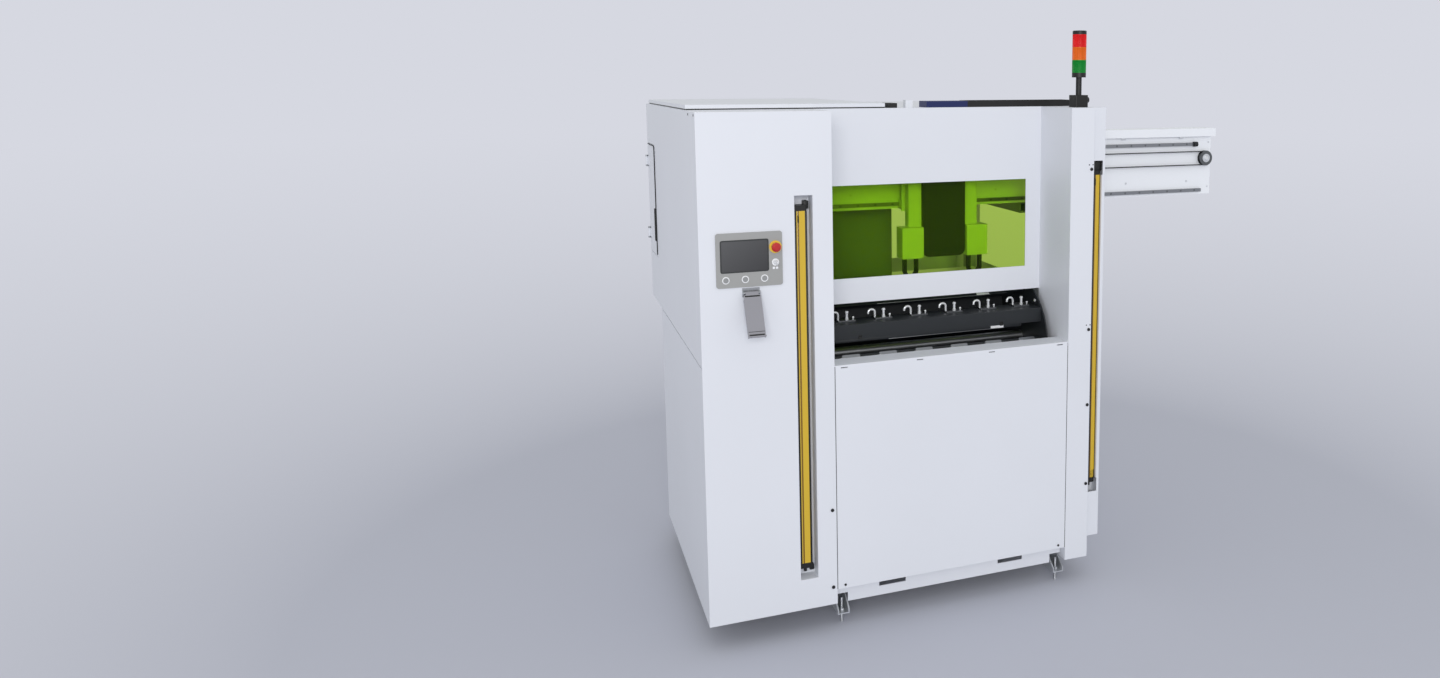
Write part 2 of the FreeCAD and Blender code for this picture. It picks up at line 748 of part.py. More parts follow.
def right_column():
    """Folded front sheet of the right column."""
    z = (Z_BASE, Z_TOP)
    front = block((X_OPEN_RIGHT, X_RIGHT), (Y_FRONT, Y_FRONT + SHEET), z)
    front = front.makeFillet(EDGE_RADIUS, edges_along(front, 2, [(X_RIGHT, Y_FRONT)]))
    side_y = (Y_FRONT + SHEET, Y_RECESS + SHEET)
    side = block((X_OPEN_RIGHT, X_OPEN_RIGHT + SHEET), side_y, z)
    keep("right_column", cut(join(front, side), *screw_holes("right")))


def right_wing():
    """Narrow shell beside the right column, open to it, with a pocket for the light receiver."""
    wing_y = (at_depth(WING_SETBACK), at_depth(WING_SETBACK + WING_DEPTH))
    wing_z = (at_height(WING_BOTTOM), Z_TOP)
    shell = block((X_RIGHT, X_WING), wing_y, wing_z)
    shell = shell.makeFillet(EDGE_RADIUS, edges_along(shell, 2, [(X_WING, wing_y[0])]))
    hollow = block(
        (X_RIGHT, X_WING - SHEET),
        (wing_y[0] + SHEET, wing_y[1] - SHEET),
        (wing_z[0] + SHEET, wing_z[1] - SHEET),
    )
    pocket = block(
        (X_RIGHT + WING_POCKET_LEFT, X_WING - WING_POCKET_RIGHT),
        (wing_y[0], wing_y[0] + SHEET),
        (at_height(WING_POCKET_BOTTOM), Z_TOP - WING_POCKET_DROP),
    )
    keep("right_column", cut(shell, hollow, pocket))


def right_walls():
    """Right wall sheets; the upper one is open where the gantry and its grippers pass."""
    x = (X_RIGHT - SHEET, X_RIGHT)
    start = Y_FRONT + SHEET
    keep("right_walls", block(x, (start, Y_LOWER), (Z_BASE, Z_SEAM - SEAM_GAP / 2)))
    upper = block(x, (start, Y_UPPER), (Z_SEAM + SEAM_GAP / 2, Z_TOP))
    exit_y = (at_depth(WALL_EXIT_FRONT), at_depth(WALL_EXIT_FRONT + WALL_EXIT_DEPTH))
    exit_z = (HEAD_Z - FINGER_LENGTH - WALL_EXIT_BELOW_FINGERS, Z_TOP - WALL_EXIT_DROP)
    keep("right_walls", cut(upper, block(x, exit_y, exit_z)))


def rear_walls():
    """Lower and upper rear sheets and the underside of the overhang."""
    x = (X_LEFT + SHEET, X_RIGHT - SHEET)
    above = Z_SEAM + SEAM_GAP / 2
    below = (at_height(COVER_BOTTOM), Z_SEAM - SEAM_GAP / 2)
    keep("rear_walls", block(x, (Y_LOWER - SHEET, Y_LOWER), below))
    upper = block(x, (Y_UPPER - SHEET, Y_UPPER), (above, Z_TOP))
    opening = block(
        (-REAR_OPENING_LEFT, REAR_OPENING_WIDTH - REAR_OPENING_LEFT),
        (Y_UPPER - SHEET, Y_UPPER),
        (at_height(REAR_OPENING_BOTTOM), Z_TOP - REAR_OPENING_DROP),
    )
    keep("rear_walls", cut(upper, opening))
    keep("rear_walls", block(x, (Y_LOWER, Y_UPPER - SHEET), (above, above + SHEET)))


def roof_panel():
    """Roof sheet, notched round the open bay, and a small pale block on it."""
    x = (X_LEFT + SHEET, X_RIGHT - SHEET)
    z = (Z_TOP - SHEET, Z_TOP)
    sheet = block(x, (Y_FRONT + SHEET + ROOF_GAP, Y_UPPER - SHEET), z)
    bay_x = (X_OPEN_LEFT - SHEET, X_OPEN_RIGHT + SHEET)
    bay = block(bay_x, (Y_FRONT, Y_RECESS + SHEET), z)
    keep("roof_panel", cut(sheet, bay))
    block_x = CARRIAGE_X - PLATE_WIDTH
    spot = (Y_RECESS + SHEET + ROOF_BLOCK, Y_RECESS + SHEET + 2 * ROOF_BLOCK)
    keep("roof_panel", block((block_x, block_x + ROOF_BLOCK), spot, (Z_TOP, Z_TOP + ROOF_BLOCK)))


def window_parts():
    """Panel above the carousel, and the pane behind its cut-out."""
    y = (Y_RECESS, Y_RECESS + SHEET)
    window_z = (Z_PANEL + WINDOW_SILL, Z_TOP - WINDOW_DROP)
    half = X_OPEN_RIGHT - WINDOW_MARGIN
    panel = block((X_OPEN_LEFT, X_OPEN_RIGHT), y, (Z_PANEL, Z_TOP))
    keep("window_panel", cut(panel, block((-half, half), y, window_z)))
    pane_z = (window_z[0] - PANE_OVERLAP, window_z[1] + PANE_OVERLAP)
    wide = half + PANE_OVERLAP
    keep("safety_window", block((-wide, wide), (y[1], y[1] + PANE_THICKNESS), pane_z))


def ledge():
    x = (X_OPEN_LEFT, X_OPEN_RIGHT)
    back = DRUM_Y - DISC_RADIUS - LEDGE_DRUM_GAP
    top = block(x, (Y_FRONT, back), (Z_LEDGE, Z_LEDGE + SHEET))
    top = top.makeFillet(EDGE_RADIUS, edges_along(top, 0, [(Y_FRONT, Z_LEDGE + SHEET)]))
    flange = block(x, (back - SHEET, back), (Z_LEDGE - LEDGE_FLANGE, Z_LEDGE))
    keep("ledge", join(top, flange))


def lower_cover():
    """Lift-off front cover with hook slots near its top edge and a return at its bottom edge."""
    x = (X_OPEN_LEFT + COVER_SIDE_GAP, X_OPEN_RIGHT - COVER_SIDE_GAP)
    bottom = at_height(COVER_BOTTOM)
    sheet = block(x, (Y_FRONT, Y_FRONT + SHEET), (bottom, Z_LEDGE))
    flange_y = (Y_FRONT + SHEET, Y_FRONT + COVER_FLANGE)
    flange = block(x, flange_y, (bottom, bottom + SHEET))
    reach = X_OPEN_RIGHT - HOOK_SLOT_INSET
    pitch = 2 * reach / (HOOK_SLOT_COUNT - 1)
    slot_z = (Z_LEDGE - HOOK_SLOT_DROP, Z_LEDGE - HOOK_SLOT_DROP + HOOK_SLOT_HEIGHT)
    slots = []
    for i in range(HOOK_SLOT_COUNT):
        middle = -reach + i * pitch
        span = (middle - HOOK_SLOT_WIDTH / 2, middle + HOOK_SLOT_WIDTH / 2)
        slots.append(block(span, (Y_FRONT, Y_FRONT + SHEET), slot_z))
    keep("lower_cover", cut(join(sheet, flange), *slots, *screw_holes("cover")))


def hmi_spot(place):
    return hmi_x(place[0]), hmi_z(place[1])


def button_spots():
    return [hmi_spot((BUTTON_LEFT + i * BUTTON_PITCH, BUTTON_ROW)) for i in range(BUTTON_COUNT)]


def panel_bore(x, z, radius, depth):
    """A hole with running clearance, that starts in front of the operator plate and ends at the column."""
    return rod(x, Y_FRONT - depth, z, radius + SHAFT_CLEARANCE, depth, (0, 1, 0))


def panel_ring(x, z, outer, inner, height):
    """A ring that stands on the operator plate, bored for the piece that moves in it."""
    depth = HMI_THICKNESS + height
    ring = rod(x, Y_FRONT - depth, z, outer, height, (0, 1, 0))
    return cut(ring, panel_bore(x, z, inner, depth))


def operator_plate():
    """Grey plate with a cut-out for the screen, and holes for the stop, the key switch and the buttons."""
    face = Y_FRONT - HMI_THICKNESS
    wide = (hmi_x(0), hmi_x(HMI_WIDTH))
    tall = (hmi_z(0), hmi_z(HMI_HEIGHT))
    plate = rounded_plate(wide, (face, Y_FRONT), tall, HMI_CORNER)
    screen_x = (hmi_x(SCREEN_LEFT), hmi_x(SCREEN_LEFT + SCREEN_WIDTH))
    screen_z = (hmi_z(SCREEN_BOTTOM), hmi_z(SCREEN_BOTTOM + SCREEN_HEIGHT))
    holes = [
        block(screen_x, (face, Y_FRONT), screen_z),
        panel_bore(*hmi_spot(STOP_AT), STOP_STEM_RADIUS, HMI_THICKNESS),
        panel_bore(*hmi_spot(KEY_AT), KEY_BARREL_RADIUS, HMI_THICKNESS),
    ]
    for spot in button_spots():
        holes.append(panel_bore(*spot, BUTTON_RADIUS, HMI_THICKNESS))
    keep("hmi_plate", cut(plate, *holes))
    glass_x = (screen_x[0] + SCREEN_GAP, screen_x[1] - SCREEN_GAP)
    glass_z = (screen_z[0] + SCREEN_GAP, screen_z[1] - SCREEN_GAP)
    glass_y = (face - SCREEN_PROUD, face - SCREEN_PROUD + SCREEN_THICKNESS)
    keep("touch_screen", block(glass_x, glass_y, glass_z))


def emergency_stop():
    """Yellow ring and the turned mushroom that moves in it."""
    x, z = hmi_spot(STOP_AT)
    keep("estop_ring", panel_ring(x, z, STOP_RING_RADIUS, STOP_STEM_RADIUS, STOP_RING_HEIGHT))
    under = STOP_RING_HEIGHT + STOP_STROKE_GAP
    top = under + STOP_HEAD_HEIGHT
    mushroom = [
        (0, -CONTROL_DEPTH),
        (STOP_STEM_RADIUS, -CONTROL_DEPTH),
        (STOP_STEM_RADIUS, under),
        (STOP_HEAD_RADIUS - STOP_HEAD_BEVEL, under),
        (STOP_HEAD_RADIUS, under + STOP_HEAD_BEVEL),
        (STOP_HEAD_RADIUS, top - STOP_CROWN),
        (STOP_HEAD_RADIUS - STOP_HEAD_BEVEL, top - STOP_CROWN / 2),
        (STOP_HEAD_RADIUS / 2, top),
        (0, top),
    ]
    keep("estop_button", turned(mushroom, (x, Y_FRONT - HMI_THICKNESS, z), (1, 0, 0), 90))


def key_switch():
    """Ring, and the barrel with a key in it."""
    x, z = hmi_spot(KEY_AT)
    keep("control_rings", panel_ring(x, z, KEY_RING_RADIUS, KEY_BARREL_RADIUS, KEY_RING_HEIGHT))
    nose = Y_FRONT - HMI_THICKNESS - KEY_RING_HEIGHT - KEY_NOSE
    barrel = rod(x, nose, z, KEY_BARREL_RADIUS, Y_FRONT + CONTROL_DEPTH - nose, (0, 1, 0))
    half = KEY_BOW_THICKNESS / 2
    shank_z = (z - KEY_SHANK_HALF, z + KEY_SHANK_HALF)
    shank = block((x - half, x + half), (nose - KEY_SHANK, nose), shank_z)
    bow_y = nose - KEY_SHANK - KEY_BOW_OUT
    bow = rod(x - half, bow_y, z, KEY_BOW_RADIUS, KEY_BOW_THICKNESS, (1, 0, 0))
    eye_y = bow_y - KEY_BOW_RADIUS / 2
    eye = rod(x - half, eye_y, z, KEY_EYE_RADIUS, KEY_BOW_THICKNESS, (1, 0, 0))
    keep("key_barrel", cut(join(barrel, shank, bow), eye))


def push_buttons():
    face = Y_FRONT - HMI_THICKNESS
    for i, (x, z) in enumerate(button_spots(), 1):
        keep("control_rings", panel_ring(x, z, BEZEL_RADIUS, BUTTON_RADIUS, BEZEL_HEIGHT))
        nose = face - BEZEL_HEIGHT - BUTTON_PROUD
        cap = rod(x, nose, z, BUTTON_RADIUS, Y_FRONT + CONTROL_DEPTH - nose, (0, 1, 0))
        rim_edge = [edge for edge in cap.Edges if edge.BoundBox.YMax < face]
        keep(f"push_button_{i}", cap.makeFillet(BUTTON_EDGE, rim_edge))


def holder_place():
    """The holder's span in width, and its hinge axis."""
    x = (at_width(HOLDER_LEFT), at_width(HOLDER_LEFT + HOLDER_WIDTH))
    return x, Y_FRONT - HOLDER_HINGE_OUT, at_height(HOLDER_HINGE_HEIGHT)


def holder_hinge():
    """Hinge plate on the column, with two lugs and a pin."""
    x, hinge_y, hinge_z = holder_place()
    plate_z = (hinge_z - HINGE_PLATE_HEIGHT / 2, hinge_z + HINGE_PLATE_HEIGHT / 2)
    pieces = [block(x, (Y_FRONT - SHEET, Y_FRONT), plate_z)]
    for low in (x[0], x[1] - HINGE_LUG):
        arm_z = (hinge_z - HINGE_KNUCKLE_RADIUS, hinge_z + HINGE_KNUCKLE_RADIUS)
        pieces.append(block((low, low + HINGE_LUG), (hinge_y, Y_FRONT - SHEET), arm_z))
        pieces.append(rod(low, hinge_y, hinge_z, HINGE_KNUCKLE_RADIUS, HINGE_LUG, (1, 0, 0)))
    pin = rod(x[0], hinge_y, hinge_z, HINGE_PIN_RADIUS, HOLDER_WIDTH, (1, 0, 0))
    keep("hinge_pins", join(pieces[0], pin, *pieces[1:]))


def holder_flap():
    """Flap with a barrel on the pin, two cheeks and a lip, tilted out from the column."""
    x, hinge_y, hinge_z = holder_place()
    inner = (x[0] + HINGE_LUG + HINGE_SIDE_GAP, x[1] - HINGE_LUG - HINGE_SIDE_GAP)
    length = inner[1] - inner[0]
    barrel = rod(inner[0], hinge_y, hinge_z, HINGE_KNUCKLE_RADIUS, length, (1, 0, 0))
    out = hinge_y - HINGE_KNUCKLE_RADIUS
    top = hinge_z - HINGE_KNUCKLE_RADIUS - HOLDER_PLATE
    bottom = hinge_z - HOLDER_LENGTH
    neck = block(inner, (out, out + HOLDER_PLATE), (top - HOLDER_PLATE, hinge_z))
    plate = block(x, (out, out + HOLDER_PLATE), (bottom, top))
    lip = block(x, (out - HOLDER_LIP + HOLDER_PLATE, out), (bottom, bottom + HOLDER_PLATE))
    flap = [barrel, neck, plate, lip]
    for low in (x[0], x[1] - SHEET):
        cheek_y = (out + HOLDER_PLATE, out + HOLDER_PLATE + HOLDER_CHEEK)
        flap.append(block((low, low + SHEET), cheek_y, (bottom, top - 2 * HINGE_LUG)))
    bore = rod(inner[0], hinge_y, hinge_z, HINGE_PIN_RADIUS + SHAFT_CLEARANCE, length, (1, 0, 0))
    flap = cut(join(*flap), bore)
    flap.rotate(vec(0, hinge_y, hinge_z), vec(1, 0, 0), -HOLDER_TILT)
    keep("holder_flap", flap)


def light_curtain():
    """Sender and receiver bars with black end caps and a plug each."""
    sender_x = at_width(POCKET_LEFT + SENDER_INSET)
    receiver_x = X_RIGHT + WING_POCKET_LEFT + SENDER_INSET
    sender_back = at_depth(POCKET_DEPTH)
    receiver_back = at_depth(WING_SETBACK + WING_DEPTH) - SHEET
    bars = [
        ((sender_x, sender_x + SENDER_WIDTH), (sender_back - SENDER_DEPTH, sender_back),
         (at_height(POCKET_BOTTOM), Z_TOP - POCKET_DROP)),
        ((receiver_x, receiver_x + RECEIVER_WIDTH), (receiver_back - RECEIVER_DEPTH, receiver_back),
         (at_height(WING_POCKET_BOTTOM), Z_TOP - WING_POCKET_DROP)),
    ]
    for x, y, room in bars:
        low = room[0] + CURTAIN_END_GAP
        high = room[1] - CURTAIN_END_GAP
        bar = block(x, y, (low + CURTAIN_CAP, high - CURTAIN_CAP))
        corners = [(a, y[0]) for a in x]
        keep("curtain_bars", bar.makeFillet(CURTAIN_RADIUS, edges_along(bar, 2, corners)))
        for z in ((low, low + CURTAIN_CAP), (high - CURTAIN_CAP, high)):
            cap = block(x, y, z)
            keep("curtain_caps", cap.makeFillet(CURTAIN_RADIUS, edges_along(cap, 2, corners)))
        middle = ((x[0] + x[1]) / 2, (y[0] + y[1]) / 2)
        keep("curtain_caps", rod(*middle, low - PLUG_LENGTH, PLUG_RADIUS, PLUG_LENGTH, (0, 0, 1)))


def drum_copies(solid):
    """Copies of a solid round the carousel's axis, one per tray."""
    copies = []
    for i in range(TRAY_COUNT):
        copy = solid.copy()
        copy.rotate(vec(0, DRUM_Y, DRUM_Z), vec(1, 0, 0), 360.0 / TRAY_COUNT * i)
        copies.append(copy)
    return copies


def drum_ends():
    """Shaft of the carousel and the disc at each end."""
    inner = DRUM_HALF - DISC_THICKNESS
    along = (1, 0, 0)
    end = X_OPEN_RIGHT + SHEET
    start = -end - SHAFT_IN_MOTOR
    keep("drum_shaft", rod(start, DRUM_Y, DRUM_Z, SHAFT_RADIUS, end - start, along))
    for x in (-DRUM_HALF, inner):
        disc = rod(x, DRUM_Y, DRUM_Z, DISC_RADIUS, DISC_THICKNESS, along)
        bore = rod(x, DRUM_Y, DRUM_Z, SHAFT_RADIUS + SHAFT_CLEARANCE, DISC_THICKNESS, along)
        keep("drum_discs", cut(disc, bore))


def drum_trays():
    """Bent sheets between the discs, each with a platform, an apron and a return flange."""
    inner = DRUM_HALF - DISC_THICKNESS
    x = (-inner, inner)
    front = DRUM_Y - TRAY_FRONT
    top = DRUM_Z + TRAY_TOP
    low = top - APRON_HEIGHT
    platform = block(x, (front, front + TRAY_DEPTH), (top - SHEET, top))
    apron = block(x, (front, front + SHEET), (low, top))
    flange = block(x, (front, front + TRAY_FLANGE), (low, low + SHEET))
    tray = join(platform, apron, flange)
    tray = tray.makeFillet(EDGE_RADIUS, edges_along(tray, 0, [(front, top)]))
    keep("drum_trays", *drum_copies(tray))


def fixtures():
    """Six stations on each tray, each with a plate, a pin, a ball knob and a hook."""
    reach = DRUM_HALF - DISC_THICKNESS - STATION_MARGIN
    pitch = 2 * reach / STATION_COUNT
    back = DRUM_Y - TRAY_FRONT + TRAY_DEPTH
    plate_y = (back - FIXTURE_DEPTH, back)
    top = DRUM_Z + TRAY_TOP
    seat = top + FIXTURE_THICKNESS
    pin_y = plate_y[0] + PIN_FROM_FRONT
    for i in range(STATION_COUNT):
        pin_x = (i - (STATION_COUNT - 1) / 2) * pitch + PIN_OFFSET
        plate_left = pin_x - FIXTURE_LEFT_OF_PIN
        plate_x = (plate_left, plate_left + FIXTURE_WIDTH)
        plate = block(plate_x, plate_y, (top, seat))
        corners = [(a, b) for a in plate_x for b in plate_y]
        plate = plate.makeFillet(FIXTURE_CORNER, edges_along(plate, 2, corners))
        keep("fixture_plates", *drum_copies(plate))
        keep("fixture_rods", *drum_copies(fixture_pin(pin_x, pin_y, seat)))
        keep("fixture_rods", *drum_copies(ball_knob(pin_x + KNOB_RIGHT_OF_PIN, pin_y, seat)))
        hook = hook_rod(pin_x - HOOK_LEFT_OF_PIN, pin_y + HOOK_BEHIND_PIN, seat)
        keep("fixture_rods", *drum_copies(hook))


def fixture_pin(x, y, z):
    """A turned pin with a collar at its foot and another at its top."""
    profile = [
        (0, 0),
        (PIN_COLLAR_RADIUS, 0),
        (PIN_COLLAR_RADIUS, PIN_COLLAR),
        (PIN_RADIUS, PIN_COLLAR + PIN_BEVEL),
        (PIN_RADIUS, PIN_HEIGHT - PIN_TOP - PIN_BEVEL),
        (PIN_COLLAR_RADIUS, PIN_HEIGHT - PIN_TOP),
        (PIN_COLLAR_RADIUS, PIN_HEIGHT - PIN_BEVEL),
        (PIN_RADIUS, PIN_HEIGHT),
        (0, PIN_HEIGHT),
    ]
    return turned(profile, (x, y, z), (0, 0, 1), 0)


def ball_knob(x, y, z):
    ball = Part.makeSphere(KNOB_RADIUS, vec(x, y, z + KNOB_HEIGHT))
    return join(ball, rod(x, y, z, KNOB_RADIUS / 2, KNOB_HEIGHT, (0, 0, 1)))


def hook_rod(x, y, z):
    """A bent rod: a post, an arm to the left and a tip that turns down."""
    rise = HOOK_HEIGHT - HOOK_BEND
    lean = HOOK_BEND * math.sqrt(0.5)
    top = z + HOOK_HEIGHT
    far = x - HOOK_ARM
    first = Part.LineSegment(vec(x, y, z), vec(x, y, z + rise))
    bend_in = Part.Arc(
        vec(x, y, z + rise),
        vec(x - HOOK_BEND + lean, y, z + rise + lean),
        vec(x - HOOK_BEND, y, top),
    )
    arm = Part.LineSegment(vec(x - HOOK_BEND, y, top), vec(far + HOOK_BEND, y, top))
    bend_out = Part.Arc(
        vec(far + HOOK_BEND, y, top),
        vec(far + HOOK_BEND - lean, y, z + rise + lean),
        vec(far, y, z + rise),
    )
    last = Part.LineSegment(vec(far, y, z + rise), vec(far, y, top - HOOK_TIP))
    path = Part.Wire([piece.toShape() for piece in (first, bend_in, arm, bend_out, last)])
    circle = Part.Wire([Part.makeCircle(HOOK_RADIUS, vec(x, y, z), vec(0, 0, 1))])
    return only_solid(path.makePipeShell([circle], True, False))


def drum_bearings():
    """Carrier plates on the frame, each with a round bearing housing."""
    along = (1, 0, 0)
    y = (FRONT_ROW[0], FRONT_ROW[0] + CARRIER_DEPTH)
    z = (DRUM_Z - CARRIER_BELOW, BED_HEIGHT)
    bore_radius = SHAFT_RADIUS + SHAFT_CLEARANCE
    face = X_OPEN_RIGHT + SHEET - CARRIER_THICKNESS
    length = face - DRUM_HALF - BEARING_GAP
    for x in ((-face - CARRIER_THICKNESS, -face), (face, face + CARRIER_THICKNESS)):
        bore = rod(x[0], DRUM_Y, DRUM_Z, bore_radius, CARRIER_THICKNESS, along)
        keep("drum_bearings", cut(block(x, y, z), bore))
    for x in (-face, face - length):
        housing = rod(x, DRUM_Y, DRUM_Z, BEARING_RADIUS, length, along)
        bore = rod(x, DRUM_Y, DRUM_Z, bore_radius, length, along)
        keep("drum_bearings", cut(housing, bore))


def gearmotor():
    start = -(X_OPEN_RIGHT + SHEET) - GEARMOTOR_LENGTH
    body = rod(start, DRUM_Y, DRUM_Z, GEARMOTOR_RADIUS, GEARMOTOR_LENGTH, (1, 0, 0))
    depth = SHAFT_IN_MOTOR + BORE_END_GAP
    bore_start = start + GEARMOTOR_LENGTH - depth
    bore = rod(bore_start, DRUM_Y, DRUM_Z, SHAFT_RADIUS + SHAFT_CLEARANCE, depth, (1, 0, 0))
    keep("drive_motors", cut(body, bore))


def belt_y():
    """The belt's span in depth, in front of the beam."""
    back = BEAM_Y - BELT_STANDOFF - FLANGE_THICKNESS - BELT_GAP
    return back - BELT_WIDTH, back


def pulley_spots():
    return BEAM_LEFT + DRIVE_INSET, BEAM_RIGHT - IDLER_INSET


def pulley(x):
    """A flanged pulley, without its bore."""
    front, back = belt_y()
    start = front - BELT_GAP - FLANGE_THICKNESS
    length = back - front + 2 * (BELT_GAP + FLANGE_THICKNESS)
    through = (0, 1, 0)
    core = rod(x, start, BELT_Z, PULLEY_RADIUS, length, through)
    near = rod(x, start, BELT_Z, PULLEY_FLANGE, FLANGE_THICKNESS, through)
    far = rod(x, start + length - FLANGE_THICKNESS, BELT_Z, PULLEY_FLANGE, FLANGE_THICKNESS, through)
    return join(core, near, far), start, length


def gantry_beam():
    """Hollow beam with a closed, drilled right end, and the idler pulley on the beam's axle."""
    y = (BEAM_Y, BEAM_Y + BEAM_THICKNESS)
    outer = block((BEAM_LEFT, BEAM_RIGHT), y, (BEAM_BOTTOM, BEAM_TOP))
    hollow = block(
        (BEAM_LEFT, BEAM_RIGHT - BEAM_END_WALL),
        (y[0] + BEAM_WALL, y[1] - BEAM_WALL),
        (BEAM_BOTTOM + BEAM_WALL, BEAM_TOP - BEAM_WALL),
    )
    holes = []
    middle = ((y[0] + y[1]) / 2, (BEAM_BOTTOM + BEAM_TOP) / 2)
    for side in (-1, 1):
        for rise in (-1, 1):
            hole_y = middle[0] + side * BEAM_HOLE_SPACING_Y / 2
            hole_z = middle[1] + rise * BEAM_HOLE_SPACING_Z / 2
            start = BEAM_RIGHT - BEAM_END_WALL
            holes.append(rod(start, hole_y, hole_z, BEAM_HOLE_RADIUS, BEAM_END_WALL, (1, 0, 0)))
    idler_x = pulley_spots()[1]
    wheel, start, length = pulley(idler_x)
    boss_length = BELT_STANDOFF - BELT_GAP
    boss = rod(idler_x, BEAM_Y - boss_length, BELT_Z, BOSS_RADIUS, boss_length, (0, 1, 0))
    axle = rod(idler_x, start, BELT_Z, AXLE_RADIUS, BEAM_Y - start, (0, 1, 0))
    keep("gantry_beam", join(cut(outer, hollow, *holes), boss, axle))
    bore = rod(idler_x, start, BELT_Z, AXLE_RADIUS + SHAFT_CLEARANCE, length, (0, 1, 0))
    keep("idler_pulley", cut(wheel, bore))


def beam_cover():
    """Cap along the beam's top with a lip down its front."""
    cover_y = (BEAM_Y - COVER_FRONT, BEAM_Y + BEAM_THICKNESS)
    cover_x = (BEAM_LEFT, BEAM_RIGHT + COVER_OVERHANG)
    top = block(cover_x, cover_y, (BEAM_TOP, BEAM_TOP + COVER_PLATE))
    lip_y = (cover_y[0], cover_y[0] + SHEET)
    lip = block(cover_x, lip_y, (BEAM_TOP - COVER_LIP, BEAM_TOP))
    keep("beam_cover", join(top, lip))


def guide_rails():
    """Two rails on the beam's front and a rubber stop at each end of the upper one."""
    rail_y = (BEAM_Y - RAIL_DEPTH, BEAM_Y)
    rails = ((UPPER_RAIL_Z, UPPER_RAIL_SHORT), (LOWER_RAIL_Z, LOWER_RAIL_SHORT))
    for z, short in rails:
        x = (BEAM_LEFT + RAIL_START, BEAM_RIGHT - short)
        keep("guide_rails", block(x, rail_y, (z - RAIL_WIDTH / 2, z + RAIL_WIDTH / 2)))
    stop_y = BEAM_Y - STOP_RADIUS
    for x in (BEAM_LEFT + RAIL_START - STOP_LENGTH, BEAM_RIGHT - UPPER_RAIL_SHORT):
        keep("beam_stops", rod(x, stop_y, UPPER_RAIL_Z, STOP_RADIUS, STOP_LENGTH, (1, 0, 0)))


def belt_loop(radius):
    """A long plate with round ends about both pulleys."""
    spots = pulley_spots()
    span = belt_y()
    ends = [rod(x, span[0], BELT_Z, radius, BELT_WIDTH, (0, 1, 0)) for x in spots]
    return join(block(spots, span, (BELT_Z - radius, BELT_Z + radius)), *ends)


def drive_belt():
    inside = PULLEY_RADIUS + BELT_GAP
    keep("drive_belt", cut(belt_loop(inside + BELT_THICKNESS), belt_loop(inside)))


def gantry_drive():
    """Driving pulley with its shaft, and the motor on a flange and four standoffs."""
    drive_x = pulley_spots()[0]
    through = (0, 1, 0)
    wheel, start, length = pulley(drive_x)
    plate_back = start - BELT_GAP
    plate_front = plate_back - MOTOR_PLATE
    shaft_length = MOTOR_PLATE + BELT_GAP + MOTOR_LENGTH / 2
    shaft = rod(drive_x, start - shaft_length, BELT_Z, AXLE_RADIUS, shaft_length, through)
    keep("drive_pulley", join(wheel, shaft))
    half = PULLEY_FLANGE + MOTOR_FLANGE_RIM
    plate_y = (plate_front, plate_back)
    flange = block((drive_x - half, drive_x + half), plate_y, (BELT_Z - half, BELT_Z + half))
    body = rod(drive_x, plate_front - MOTOR_LENGTH, BELT_Z, MOTOR_RADIUS, MOTOR_LENGTH, through)
    reach = half - STANDOFF_INSET
    posts = []
    for x in (drive_x - reach, drive_x + reach):
        for z in (BELT_Z - reach, BELT_Z + reach):
            posts.append(rod(x, plate_back, z, STANDOFF_RADIUS, BEAM_Y - plate_back, through))
    bore_length = shaft_length + BORE_END_GAP
    bore = rod(drive_x, start - bore_length, BELT_Z, AXLE_RADIUS + SHAFT_CLEARANCE, bore_length, through)
    keep("drive_motors", cut(join(flange, body, *posts), bore))


def carriage_faces():
    """Depths of the carriage plate's front and back."""
    back = BEAM_Y - CARRIAGE_STANDOFF
    return back - CARRIAGE_PLATE, back


def column_spans():
    """Each gripper column's span in width, beside the dark cover."""
    edge = PLATE_WIDTH / 2 + PLATE_GAP
    left = (CARRIAGE_X - edge - COLUMN_BAR, CARRIAGE_X - edge)
    right = (CARRIAGE_X + edge, CARRIAGE_X + edge + COLUMN_BAR)
    return {"a": left, "b": right}


def carriage():
    """Plate with four runners on the rails and two upright guides."""
    front, back = carriage_faces()
    x = (CARRIAGE_X - CARRIAGE_WIDTH / 2, CARRIAGE_X + CARRIAGE_WIDTH / 2)
    z = (LOWER_RAIL_Z - CARRIAGE_BELOW_RAIL, Z_TOP - CARRIAGE_TOP_DROP)
    pieces = [block(x, (front, back), z)]
    grooves = []
    for rail_z in (UPPER_RAIL_Z, LOWER_RAIL_Z):
        span = (rail_z - RUNNER_HEIGHT / 2, rail_z + RUNNER_HEIGHT / 2)
        for left in (x[0], x[1] - RUNNER_LENGTH):
            pieces.append(block((left, left + RUNNER_LENGTH), (back, BEAM_Y - 2 * RUNNER_GAP), span))
        groove_z = (rail_z - RAIL_WIDTH / 2 - RUNNER_GAP, rail_z + RAIL_WIDTH / 2 + RUNNER_GAP)
        grooves.append(block(x, (BEAM_Y - RAIL_DEPTH - RUNNER_GAP, BEAM_Y), groove_z))
    guide_z = (z[0] + RUNNER_HEIGHT, z[1] - RUNNER_HEIGHT / 2)
    for span in column_spans().values():
        middle = (span[0] + span[1]) / 2
        guide_x = (middle - GUIDE_WIDTH / 2, middle + GUIDE_WIDTH / 2)
        pieces.append(block(guide_x, (front - GUIDE_DEPTH, front), guide_z))
    keep("carriage", cut(join(*pieces), *grooves))


def carriage_cover():
    """Dark cover in the middle of the carriage, with two round corners at its bottom."""
    front = carriage_faces()[0]
    half = PLATE_WIDTH / 2
    cover_x = (CARRIAGE_X - half, CARRIAGE_X + half)
    cover_z = (HEAD_Z, Z_TOP - CARRIAGE_TOP_DROP)
    cover = block(cover_x, (front - PLATE_DEPTH, front), cover_z)
    corners = [(a, cover_z[0]) for a in cover_x]
    keep("carriage_cover", cover.makeFillet(PLATE_CORNER, edges_along(cover, 1, corners)))


